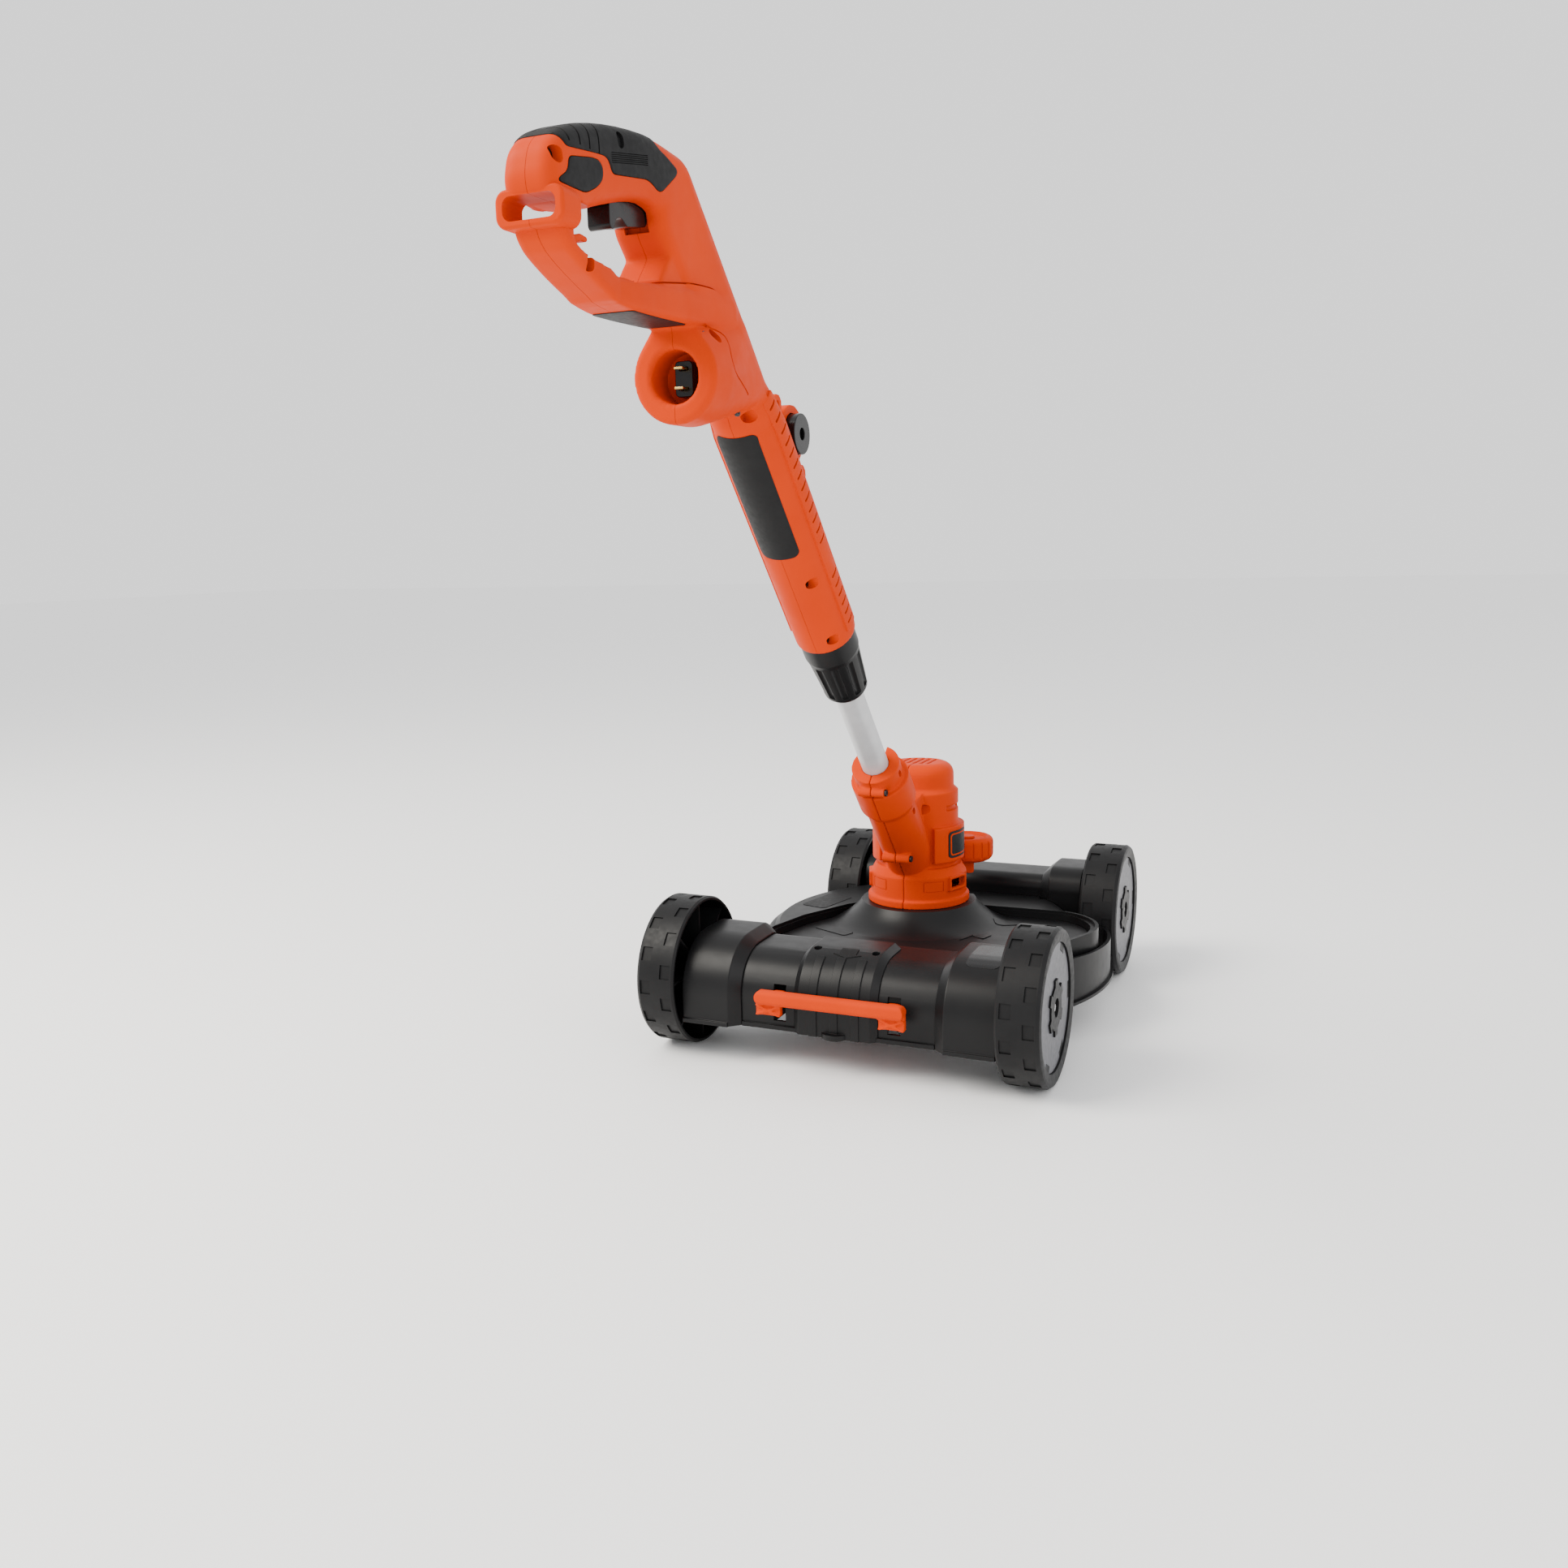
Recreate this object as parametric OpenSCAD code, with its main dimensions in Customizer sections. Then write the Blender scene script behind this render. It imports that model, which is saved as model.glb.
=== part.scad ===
// Wheeled string trimmer: a corded trimmer seated in a four-wheeled mowing deck.
// Frame: +Z up, +Y away from the user, +X to the user's right, floor at z = 0.

/* [Wheels] */
// Radius of each wheel
wheel_r = 70; // [62:1:76]
// Width of each wheel across its tread
wheel_w = 39; // [36:1:44]
// Distance between the front and rear axles
wheelbase = 342; // [336:1:356]
// Distance over the outer faces of a pair of wheels
track = 378; // [374:1:390]
// How far the front left wheel stands inboard of the rear left one
front_left_in = 53.5; // [50:0.5:57]
// Radius of the stub axles
axle_r = 5; // [4:0.5:6]
// Number of tread pockets along each edge of a wheel
tread_pockets = 14; // [10:1:16]
// Number of dark tabs round each hub disc
disc_tabs = 6; // [4:1:8]

/* [Deck] */
// Distance of the rear axle in front of the origin
rear_axle_y = 30; // [26:1:34]
// Height of the beams' lower edge above the floor
beam_bottom = 36; // [30:1:40]
// Height of the beams' top above the floor
beam_top = 102; // [100:1:106]
// Depth of a beam from its outer face to its axle
beam_back = 45; // [42:1:48]
// Depth of a beam from its axle to its inner face
beam_front = 42; // [38:1:44]
// Rounding of a beam's outer top edge
beam_round = 40; // [34:1:42]
// Wall of the deck mouldings
deck_wall = 3.5; // [3:0.5:4.5]
// Distance from the middle of the rear beam to its end caps
cap_in = 92; // [88:1:96]
// How far an end cap stands out from its beam
cap_out = 10; // [8:1:11]
// Height of the deck's top surface
deck_top = 88; // [86:1:90]
// Radius of the deck's skirt about the head
skirt_r = 158; // [154:1:162]
// Radius of the side bumper about the head
bumper_r = 198; // [194:1:200]
// Height of the bumper's lower lip above the floor
bumper_bottom = 34; // [30:1:40]
// Height of the bumper's top edge above the floor
bumper_top = 81; // [78:1:84]
// Half width of the latch housing on the rear beam
latch_half = 40; // [36:1:44]
// Half width of the foot pedal
pedal_half = 70; // [66:1:76]

/* [Head] */
// Distance of the cutting head's axis in front of the rear axle
head_ahead = 195; // [192:1:198]
// Height of the underside of the head's base ring
base_z = 105; // [103:1:108]
// Radius of the base ring
base_r = 49; // [47:1:50]
// Radius of the motor housing
motor_r = 41; // [40:1:42]
// Height of the motor housing's top
motor_top = 248; // [245:1:254]
// Radius of the motor's can
can_r = 33; // [30:1:34]
// Radius of the motor shaft
shaft_r = 4; // [3:0.5:5]
// Radius of the edging wheel
edge_r = 28; // [25:1:29]
// Radius of the spool housing
spool_r = 44; // [40:1:46]

/* [Shaft] */
// Lean of the shaft from vertical, in degrees
shaft_lean = 42; // [40:1:44]
// Height where the shaft's axis meets the head's axis
shaft_z = 122; // [120:1:124]
// Outer radius of the lower tube
tube_r = 12.7; // [12:0.1:13.5]
// Wall of the lower tube
tube_wall = 1.5; // [1:0.1:2]
// Length of bare tube between the neck and the collet nut
tube_show = 106; // [90:1:120]
// Length of the collet nut
nut_len = 70; // [64:1:78]
// Largest radius of the collet nut
nut_r = 24; // [23:0.5:25]

/* [Handle] */
// Radius of the handle's tubular housing
column_r = 26; // [25:0.5:27]
// Wall of the handle shells
shell_wall = 3; // [2.5:0.1:3.2]
// Thickness of the soft grip
grip_skin = 2; // [1.6:0.1:2.4]
// Outer radius of the power inlet
inlet_r = 29; // [28:0.5:30]
// Radius of the power inlet's bore
inlet_bore_r = 18.5; // [17:0.5:19]
// Distance between the two inlet blades
blade_pitch = 12.7; // [12:0.1:13]
// Half width of the cord slot's frame
cord_half = 21.5; // [20:0.5:24]
// Radius of the black button on the auxiliary handle's pivot
button_r = 15.3; // [14:0.1:16]
// Number of upper vent slots on each side
vent_count = 13; // [8:1:13]

/* [Hidden] */

$fn = 64;
// Colours
orange = "orangered";
black = "#1c1c1e";
grey = "#6f6f76";
steel = "silver";
// Gap between pieces that are seated on each other
seat = 0.3;
// Radial clearance of a running fit
fit = 0.05;
// Half of the gap at the seam between two half shells
seam = 0.1;
// Overshoot that lets cuts break cleanly through
eps = 0.5;
// A length beyond the whole object
far = 1000;

// Wheel and axle places
wheel_in = track / 2 - wheel_w;
front_axle_y = rear_axle_y + wheelbase;
tread_t = 3.5;
rim_r = wheel_r - 13;
web_z = wheel_w - 9;
web_t = 3.5;
disc_z = web_z + web_t + seat;
disc_t = 2;
disc_r = rim_r - 0.5;
boss_r = 20;
boss_tooth = 5;
tab_w = 15;
tab_d = 7;
hub_r = 12;
hub_start = 2;
hub_recess_r = 8.5;
clip_z = wheel_w - 7;
clip_t = 1.5;
clip_r = 7.5;
axle_out = wheel_w - 3;
axle_in = -30;
rib_t = 2;
pocket_w = 13;
pocket_len = 10;
pocket_d = 1.5;

// Beam section: the lip along its lower edge and its inner top rounding
lip_h = 4;
lip_out = 2;
front_round = 14;
cap_shoulder = 10;
cap_lap = 4;
cap_end = wheel_in - 2;
front_rise = 8;
// Share of a rear cap's length that a front cap has
front_cap_share = 0.79;
wheel_space = 4;
axle_head = 4;

// Deck outline about the head's axis
skirt_low = beam_bottom + 4;
skirt_roll = 16;
skirt_out = 11;
pad_c = [20, -28];
pad_rim_r = 157;
pad_t = 4;
bridge_half = 50;
bumper_rear = -100;
bumper_front = 76;
bumper_drop = 13;

// Head places
head_y = rear_axle_y + head_ahead;
flange_h = 7;
flange_out = 3;
base_h = 39;
shoulder_h = 9;
shoulder_in = 5;
upper_r = motor_r - 4.5;
step_z = base_z + 114.5;
slot_z = base_z + 96;
slot_h = 5;
slot_d = 3.5;
slot_turn = 28;
head_floor_z = base_z + 31;
bearing_h = 7;
bearing_r = 11;
can_z = head_floor_z + 16;
can_top = motor_top - 22;
rotor_r = can_r - 13;
pad_r = motor_r + 6;
pad_turn = 52;
pad_low = base_z + 44.5;
pad_high = base_z + 80.5;
badge_turn = 32;
badge_inset = 4.2;
badge_t = 0.8;
window_w = 22;
window_h = 9.4;
window_z = base_z + 18.8;
window_rim = 2.6;
window_turn = -20;

// Edging wheel place, to the front right of the head
edge_turn = 66.7;
edge_gap = 1.39;
edge_x = (base_r + edge_gap + edge_r) * cos(edge_turn);
edge_y = (base_r + edge_gap + edge_r) * sin(edge_turn);
edge_z = base_z + 27;
edge_h = 26;
edge_pin_r = 4;
edge_arm_h = 14;
edge_arm_w = 12;
edge_boss_r = edge_pin_r + 3.5;

// Guard: its hub disc, flare and outline about the head's axis
guard_t = 3;
guard_hub_r = base_r + flange_out;
guard_hub_t = 5;
guard_top = base_z - fit;
guard_low = deck_top - 5;
guard_flare_r = guard_hub_r + 46;
// Middle of the guard's right lobe
lobe_x = bumper_r - 70;
guard_clear = 1.6;
guard_screw_r = 1.6;
ledge_w = 9;
guard_rim_h = 5;

// Neck and collar along the shaft
neck_r = 24;
neck_s = 133;
collar_s = 141;
collar_len = 33;
collar_r = 28;
cap_len = 18;
cap_r = 23;
neck_top_s = collar_s + collar_len + cap_len;
tube_low_s = 64;
handle_s = neck_top_s + tube_show + nut_len;
tube_in_handle = 192;
head_screw_at = [[-cap_r - 1, collar_s + collar_len + 6, 13], [-neck_r - 1, 76, 14]];

// Collet parts, measured from the handle's lower end
sleeve_r = 15.5;
sleeve_low = 12;
sleeve_high = 32;
spigot_r = 19;
spigot_len = 23;
nut_low_r = 19.5;
flutes = 10;
flute_r = 4;

// Origin of the grip's level frame in the handle's frame: [across, along]
grip_at = [-37, 428];
// Grip, heel and lower arm in the grip's level frame: [forward, up], with radius and half width
grip_front = [41, -3];
grip_front_r = 24;
grip_front_w = 19.5;
grip_top = [0, 2.7];
grip_rear = [-50, -6.2];
grip_top_r = 19.3;
grip_rear_r = 21.2;
heel_top = [-82, -19];
heel_low = [-82, -36];
arm_rear = [-82, -50];
arm_mid = [-47, -67.5];
arm_front = [-20, -72];
arm_root = [104, -66];
arm_w = 16.5;
grip_stations = [[grip_front, grip_front_r, grip_front_w], [grip_top, grip_top_r, 19],
    [grip_rear, grip_rear_r, 18], [heel_top, 21.5, 17.5], [heel_low, 16.5, arm_w]];
arm_stations = [[heel_low, 16.5, arm_w], [arm_rear, 10.5, arm_w], [arm_mid, 7.7, arm_w],
    [arm_front, 8, 17], [arm_root, 11, 21.5]];
// Post and crown at the top of the column, in the handle's frame
post_low = [-24, 358];
post_high = [-25, 390];
post_r = 21;
post_w = 19;
crown = [0, 376];
crown_r = 20.5;
crown_w = 19.5;
column_top = 216;
neck_down = 26;
upper_column_r = 22;
// Share of a disc's radius that is rounded at its edge, and facets of the rounded forms
edge_share = 0.42;
outer_fn = 20;
inner_fn = 14;
skin_out = 0.6;
inlet_face = [-68, 307];
inlet_depth = 24;
inlet_floor_t = 6;
inlet_root = 50;
inlet_up = 20;
inlet_up_r = 17.5;
insert_h = 11;
blade_w = 6.3;
blade_t = 1.5;
blade_len = 19;
cord_at = [-80, -38];
cord_h = 20;
cord_slot_w = 34;
cord_slot_h = 13;
cord_back = 18;
cord_front = -3.5;
spigot_in = 8;
screw_r = 1.6;
screw_grip = 11;
screw_boss_r = 4.5;
screw_recess_r = 3.8;
label_low = 110;
label_len = 104;
label_turn = -141;
label_angle = 84;
label_t = 0.5;

// Vents on the housing's sides
vent_pitch = 8.5;
vent_low = 17;
vent_gap_low = 6;
vent_start = 78;
vent_w = 2.2;
vent_len = 15;
vent_turn = 14;
vent_strip_half = 10;
vent_strip_len = 205;
vent_strip_out = 1.5;

// Trigger, switch and their ribs in the grip's level frame
trigger_half = 7.6;
trigger_pivot = [6, -12];
trigger_pin_r = 2.5;
trigger_hub_r = 6;
trigger_roof = -12;
trigger_gap = 0.8;
trigger_spring_y = -24;
spring_roof = 5;
pin_past = 5;
switch_half = 7;
switch_h = 13;

// Auxiliary handle's pivot on the front of the housing
aux_at = [37.5, 176];
aux_r = 22;
aux_half = 12;
aux_flange = 46;
eye_across = 31;
eye_along = 33;
eye_r = 2.5;
button_out = 8;
button_travel = 5;
button_seat = 2;
button_stem_r = 7;
stem_len = 8;
stem_floor = 3 - aux_half;

// Foot pedal, its pivot and catch, measured from the rear axle
pedal_pivot_y = -8;
pedal_pivot_z = 52;
pedal_pin_r = 4;
pedal_hub_r = 8;
pedal_hub_half = 61;
pivot_wall_x = 67;
pedal_bar_back = 67;
pedal_bar_front = 55.5;
pedal_bar_z = 64.5;
pedal_bar_h = 13;
pedal_arm_in = 50;
pedal_arm_w = 9;
pedal_end_in = 46;
pedal_end_h = 10;
hook_half = 6;
hook_z = pedal_pivot_z + pedal_pin_r + 2;
hook_t = 5;

// Latch housing and its screws, measured from the rear axle
latch_t = 6;
latch_chamfer = 6;
latch_rib = 4;
latch_tab = 13;
latch_front = 20;
latch_screw_x = 28;
latch_screw_y = -14;
latch_screw_z = beam_top - 0.2;
deck_screw_r = 3.3;

// Points on an arc about c, from angle a to angle b
function arc(c, r, a, b, n = 8)
    = [for (i = [0:n]) c + r * [cos(a + (b - a) * i / n), sin(a + (b - a) * i / n)]];

// Rounded rectangle centred on the origin
function rounded(w, h, r) = concat(
    arc([w / 2 - r, h / 2 - r], r, 0, 90, 6), arc([r - w / 2, h / 2 - r], r, 90, 180, 6),
    arc([r - w / 2, r - h / 2], r, 180, 270, 6), arc([w / 2 - r, r - h / 2], r, 270, 360, 6));

// Section of a beam grown by g, with the outer side towards negative first coordinate
function beam_section(g, top = beam_top) = concat(
    [[-beam_back - g, beam_bottom]],
    arc([beam_round - beam_back, top - beam_round], beam_round + g, 180, 90),
    arc([beam_front - front_round, top - front_round], front_round + g, 90, 0, 5),
    [[beam_front + g, beam_bottom]]);

// Outline of the guard about the head's axis, scaled by k
function guard_outline(k = 1) = k * concat(
    [[40, 32]], arc([lobe_x, -16], 50, 78, -20, 8),
    [[lobe_x + 22, -90], [lobe_x - 16, -139], [-84, -139]],
    arc([-84, -111], 28, 250, 170, 5), [[-100, -60], [-74, -8], [-44, 30]]);

// Points of a helix of n turns, as a closed tube of r about a coil of radius cr and height h
function coil_ring(t, cr, h, n, r) = let (a = 360 * n * t, z = r + (h - 2 * r) * t)
    [for (j = [0:5]) let (q = cr + r * cos(60 * j)) [q * cos(a), q * sin(a), z + r * sin(60 * j)]];

module coil(cr, h, n, r) {
    steps = 10 * n;
    rings = [for (i = [0:steps]) coil_ring(i / steps, cr, h, n, r)];
    sides = [for (i = [0:steps - 1]) for (j = [0:5]) for (f = [0:1])
        let (a = i * 6 + j, b = i * 6 + (j + 1) % 6, c = b + 6, d = a + 6)
            f == 0 ? [a, b, c] : [a, c, d]];
    ends = concat([for (j = [1:4]) [0, j + 1, j]],
        [for (j = [1:4]) [for (k = [0, j, j + 1]) 6 * steps + k]]);
    polyhedron([for (ring = rings) each ring], concat(sides, ends));
}

// Places children on a wheel's axis, with local +Z outwards from the wheel's inner face
module on_axle(side, y)
    translate([side * wheel_in + (side < 0 && y > rear_axle_y ? front_left_in : 0), y, wheel_r])
    rotate([0, side * 90, 0]) children();

// Runs children at all four axles
module each_axle() for (side = [-1, 1]) for (y = [rear_axle_y, front_axle_y]) on_axle(side, y) children();

// Extrudes a side-view outline along X from x = a to x = b
module along_x(a, b) translate([a, 0, 0]) rotate([90, 0, 90]) linear_extrude(b - a) children();

// Frames of the head, the shaft, the handle and the grip
module in_head() translate([0, head_y, 0]) children();
module in_shaft() translate([0, head_y, shaft_z]) rotate([shaft_lean, 0, 0]) children();
module in_handle() in_shaft() translate([0, 0, handle_s]) children();

// Keeps the half of children on one side of the seam
module half(side) intersection() {
    children();
    translate([side > 0 ? seam : -far - seam, -far, -far]) cube([far, 2 * far, 2 * far]);
}

module ring(r, ri, h) difference() {
    cylinder(r = r, h = h);
    translate([0, 0, -eps]) cylinder(r = ri, h = h + 2 * eps);
}

// A pan-head screw along +Z with its head at the top
module screw(r, len, head_r, head_h) {
    cylinder(r = r, h = len);
    translate([0, 0, len]) difference() {
        cylinder(r = head_r, h = head_h);
        translate([-head_r * 0.6, -head_r * 0.14, head_h * 0.5])
            cube([head_r * 1.2, head_r * 0.28, head_h]);
        translate([-head_r * 0.14, -head_r * 0.6, head_h * 0.5])
            cube([head_r * 0.28, head_r * 1.2, head_h]);
    }
}

// One wheel in its axle frame: tread, web, ribs and hub
module wheel() color(black) difference() {
    union() {
        rotate_extrude() polygon(concat(
            [[wheel_r - tread_t, 0], [wheel_r - 1.5, 0], [wheel_r, 2]],
            [[wheel_r, wheel_w - 4], [wheel_r - 2, wheel_w - 1], [wheel_r - 5, wheel_w]],
            [[rim_r, wheel_w - 1.5], [rim_r, web_z + web_t], [axle_r + 3, web_z + web_t]],
            [[axle_r + 3, web_z], [wheel_r - tread_t, web_z]]));
        translate([0, 0, hub_start]) cylinder(r = hub_r, h = wheel_w - hub_start - 4);
        translate([0, 0, web_z + 1]) cylinder(r = boss_r, h = wheel_w - web_z - 2.5);
        for (i = [0:5]) rotate(60 * i) translate([0, -boss_tooth, web_z + 1])
            cube([boss_r + boss_tooth, 2 * boss_tooth, wheel_w - web_z - 2.5]);
        for (i = [0:disc_tabs - 1]) rotate(360 * (i + 0.5) / disc_tabs)
            translate([rim_r - tab_d, -tab_w / 2, web_z + 1])
            cube([tab_d + 2, tab_w, disc_z + disc_t - web_z - 1]);
        for (i = [0:7]) rotate(45 * i) translate([hub_r - 1, -rib_t / 2, hub_start + 4])
            cube([wheel_r - tread_t - hub_r + 2, rib_t, web_z - hub_start - 3]);
    }
    translate([0, 0, -eps]) cylinder(r = axle_r + fit, h = wheel_w + 2 * eps);
    translate([0, 0, clip_z - seat]) cylinder(r = hub_recess_r, h = wheel_w);
    for (edge = [0, 1]) for (i = [0:tread_pockets - 1]) rotate(360 * (i + edge / 2) / tread_pockets)
        translate([wheel_r - pocket_d, -pocket_w / 2, edge == 0 ? 4 : wheel_w - 5 - pocket_len])
            cube([2 * pocket_d, pocket_w, pocket_len]);
}

// Grey disc that fills the wheel's outer face round its boss and tabs
module hub_disc() color(grey) difference() {
    translate([0, 0, disc_z]) cylinder(r = disc_r, h = disc_t);
    cylinder(r = boss_r + seat, h = wheel_w);
    for (i = [0:5]) rotate(60 * i) translate([0, -boss_tooth - seat, 0])
        cube([boss_r + boss_tooth + seat, 2 * (boss_tooth + seat), wheel_w]);
    for (i = [0:disc_tabs - 1]) rotate(360 * (i + 0.5) / disc_tabs)
        translate([rim_r - tab_d - seat, -tab_w / 2 - seat, 0])
        cube([tab_d + 2, tab_w + 2 * seat, wheel_w]);
}

module wheel_rear_left() on_axle(-1, rear_axle_y) wheel();
module wheel_rear_right() on_axle(1, rear_axle_y) wheel();
module wheel_front_left() on_axle(-1, front_axle_y) wheel();
module wheel_front_right() on_axle(1, front_axle_y) wheel();
module hub_disc_rear_left() on_axle(-1, rear_axle_y) hub_disc();
module hub_disc_rear_right() on_axle(1, rear_axle_y) hub_disc();
module hub_disc_front_left() on_axle(-1, front_axle_y) hub_disc();
module hub_disc_front_right() on_axle(1, front_axle_y) hub_disc();

// Stub axles with a head inside the end caps and a tapered outer end
module axle_pins() color(steel) each_axle() {
    translate([0, 0, axle_in]) cylinder(r = axle_r, h = axle_out - axle_in - 2);
    translate([0, 0, axle_out - 2]) cylinder(r1 = axle_r, r2 = axle_r - 2, h = 2);
    translate([0, 0, axle_in]) cylinder(r = axle_r + 3, h = axle_head - fit);
}

// Push-on clips that hold the wheels on their axles
module axle_clips() color(steel) each_axle() translate([0, 0, clip_z]) ring(clip_r, axle_r + fit, clip_t);

// Height of a beam's top and where its end cap starts
function top_of(front) = front ? beam_top + front_rise : beam_top;
function cap_start(front) = front ? wheel_in - front_cap_share * (wheel_in - cap_in) : cap_in;

// Section of the space inside a beam or cap, open below
module hollow(g, top) {
    polygon(beam_section(g, top));
    translate([-beam_back - g, beam_bottom - eps]) square([beam_back + beam_front + 2 * g, 2 * eps]);
}

// Beam in its axle's frame from x = lo to x = hi, with its outer side towards -Y
module beam(lo, hi, top) difference() {
    union() {
        along_x(lo, hi) polygon(beam_section(0, top));
        along_x(lo + cap_lap + seat, hi - cap_lap - seat) translate([-beam_back - lip_out, beam_bottom])
            square([lip_out + eps, lip_h]);
    }
    along_x(lo - eps, hi + eps) hollow(-deck_wall, top);
}

// Walls inside the rear beam that carry the pedal's pin
module pivot_wall(side) difference() {
    along_x(side * pivot_wall_x - 2, side * pivot_wall_x + 2) intersection() {
        polygon(beam_section(-deck_wall / 2));
        translate([-far, beam_bottom + 2]) square([2 * far, far]);
    }
    translate([-far, pedal_pivot_y, pedal_pivot_z]) rotate([0, 90, 0])
        cylinder(r = pedal_pin_r + fit, h = 2 * far);
}

// Rear beam with slots for the pedal's arms and its catch
module rear_beam() color(black) translate([0, rear_axle_y, 0]) {
    difference() {
        beam(-cap_in - cap_lap, cap_in + cap_lap, beam_top);
        for (side = [0, 1]) mirror([side, 0, 0]) translate([pedal_arm_in - 1.5, -far, beam_bottom + 8])
            cube([pedal_arm_w + 3, far - beam_back + 3 * deck_wall,
                pedal_bar_z + pedal_bar_h - beam_bottom - 8]);
        translate([-hook_half - 1.5, 0, 0]) cube([2 * hook_half + 3, far, deck_top + 6]);
        for (side = [-1, 1]) translate([side * latch_screw_x, latch_screw_y, 0])
            cylinder(r = deck_screw_r - 1, h = far);
    }
    for (side = [-1, 1]) pivot_wall(side);
}

module front_beam() color(black) translate([0, front_axle_y, 0]) rotate(180)
    beam(-cap_start(true) - cap_lap, cap_start(true) + cap_lap - front_left_in, top_of(true));

// End cap over one end of a beam, in its axle's frame with the cap towards +X
module end_cap(start, top) color(black) difference() {
    union() {
        hull() {
            along_x(start, start + 1) polygon(beam_section(1.5, top));
            along_x(start + cap_shoulder, start + cap_shoulder + 1) polygon(beam_section(cap_out, top));
        }
        along_x(start + cap_shoulder, cap_end) polygon(beam_section(cap_out, top));
        along_x(start + cap_shoulder, cap_end) translate([-beam_back - cap_out - lip_out, beam_bottom])
            square([lip_out + eps, lip_h]);
    }
    along_x(start - eps, start + cap_shoulder + 2) hollow(fit, top);
    along_x(start + cap_shoulder, cap_end - deck_wall) hollow(cap_out - deck_wall, top);
    axle_hole();
}

module axle_hole() translate([0, 0, wheel_r]) rotate([0, 90, 0]) cylinder(r = axle_r + fit, h = far);

// Boss inside an end cap that holds its axle, and the bearing face for the wheel outside
module cap_boss() color(black) difference() {
    translate([0, 0, wheel_r]) rotate([0, 90, 0]) {
        translate([0, 0, wheel_in + axle_in + axle_head])
            cylinder(r = axle_r + 6, h = cap_end - wheel_in - axle_in - axle_head - 1);
        translate([0, 0, cap_end - eps])
            cylinder(r = hub_r, h = wheel_in + hub_start - seat - cap_end + eps);
    }
    axle_hole();
}

// Places children at a cap, in its axle's frame with the cap towards +X
module at_cap(side, front)
    translate([side < 0 && front ? front_left_in : 0, front ? front_axle_y : rear_axle_y, 0])
    mirror([side < 0 ? 1 : 0, 0, 0]) mirror([0, front ? 1 : 0, 0]) children();

module cap_at(side, front) at_cap(side, front) {
    end_cap(cap_start(front), top_of(front));
    cap_boss();
}

module end_cap_rear_left() cap_at(-1, false);
module end_cap_rear_right() cap_at(1, false);
module end_cap_front_left() cap_at(-1, true);
module end_cap_front_right() cap_at(1, true);

// Half section of the shroud's solid of radius r, drawn in by g, with a rolled edge
function dome_section(r, g)
    = concat([[0, skirt_low - (g > 0 ? eps : 0)], [r - g, skirt_low - (g > 0 ? eps : 0)]],
    arc([r - skirt_roll, deck_top - skirt_roll], skirt_roll - g, 0, 90, 6), [[0, deck_top - g]]);

// The shroud's solid, flatter on the left than round the head
module dome(g) in_head() intersection() {
    rotate_extrude($fn = 96) polygon(dome_section(skirt_r, g));
    translate([pad_c[0], pad_c[1], 0]) rotate_extrude($fn = 96)
        polygon(dome_section(pad_rim_r + skirt_out, g));
}

// Bridge from the shroud to the front beam, drawn in by g
module bridge(g) in_head() translate([g - bridge_half, 0, skirt_low + (g > 0 ? 0 : 1)])
    cube([2 * (bridge_half - g), front_axle_y - head_y - beam_front, deck_top - skirt_low - 2 - g]);

// Everything between the two beams
module between_beams() translate([-far, rear_axle_y + beam_front + seat, -far])
    cube([2 * far, wheelbase - 2 * beam_front - 2 * seat, 2 * far]);

// A prism of the guard's outline, scaled by k, from z = a to z = b
module guard_prism(k, a, b) in_head() translate([0, 0, a]) linear_extrude(b - a)
    polygon(guard_outline(k));

// Factor that grows the guard's outline by about d
function grow(d) = 1 + d / 130;

// Crescent wall with an open pocket on the right-hand side, lower towards the front
module bumper() in_head() difference() {
    intersection() {
        union() {
            translate([0, 0, bumper_bottom]) cylinder(r = bumper_r - 3, h = bumper_top - bumper_bottom);
            translate([0, 0, bumper_bottom]) cylinder(r = bumper_r, h = 3);
        }
        along_x(skirt_r - 40, far)
            polygon([[bumper_rear, 0], [bumper_front, 0], [bumper_front, bumper_top - bumper_drop],
            [bumper_rear, bumper_top]]);
    }
    difference() {
        translate([0, 0, bumper_bottom - eps]) cylinder(r = bumper_r - 3 - deck_wall, h = far);
        translate([0, bumper_rear, 0]) cube([far, deck_wall, far]);
        translate([0, bumper_front - deck_wall, 0]) cube([far, deck_wall, far]);
    }
    translate([0, 0, -eps]) cylinder(r = skirt_r - 2, h = far);
}

// Space swept by the front left wheel
module front_left_space() on_axle(-1, front_axle_y) translate([0, 0, -wheel_space])
    cylinder(r = wheel_r + wheel_space,
    h = wheel_w + 2 * wheel_space);

module deck_shroud() color(black) difference() {
    union() {
        intersection() {
            union() {
                difference() {
                    union() {
                        dome(0);
                        bridge(0);
                    }
                    dome(deck_wall);
                    bridge(deck_wall);
                }
                difference() {
                    guard_prism(grow(guard_clear + 6), deck_top - 14, deck_top + 5);
                    guard_prism(grow(guard_clear + 3.4), deck_top + 2, far);
                }
            }
            between_beams();
        }
        bumper();
    }
    guard_prism(grow(guard_clear), guard_low - guard_rim_h - seat, far);
    guard_prism(grow(-ledge_w), -far, far);
    in_head() cylinder(r = base_r + flange_out + 2, h = far);
    front_left_space();
    for (side = [-1, 1]) for (front = [false, true]) at_cap(side, front)
        along_x(cap_start(front) - 1, cap_end + 2) polygon(beam_section(cap_out + seat, top_of(front)));
    translate([-hook_half - 1.5, rear_axle_y, 0]) cube([2 * hook_half + 3, beam_front + 14, far]);
}

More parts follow.
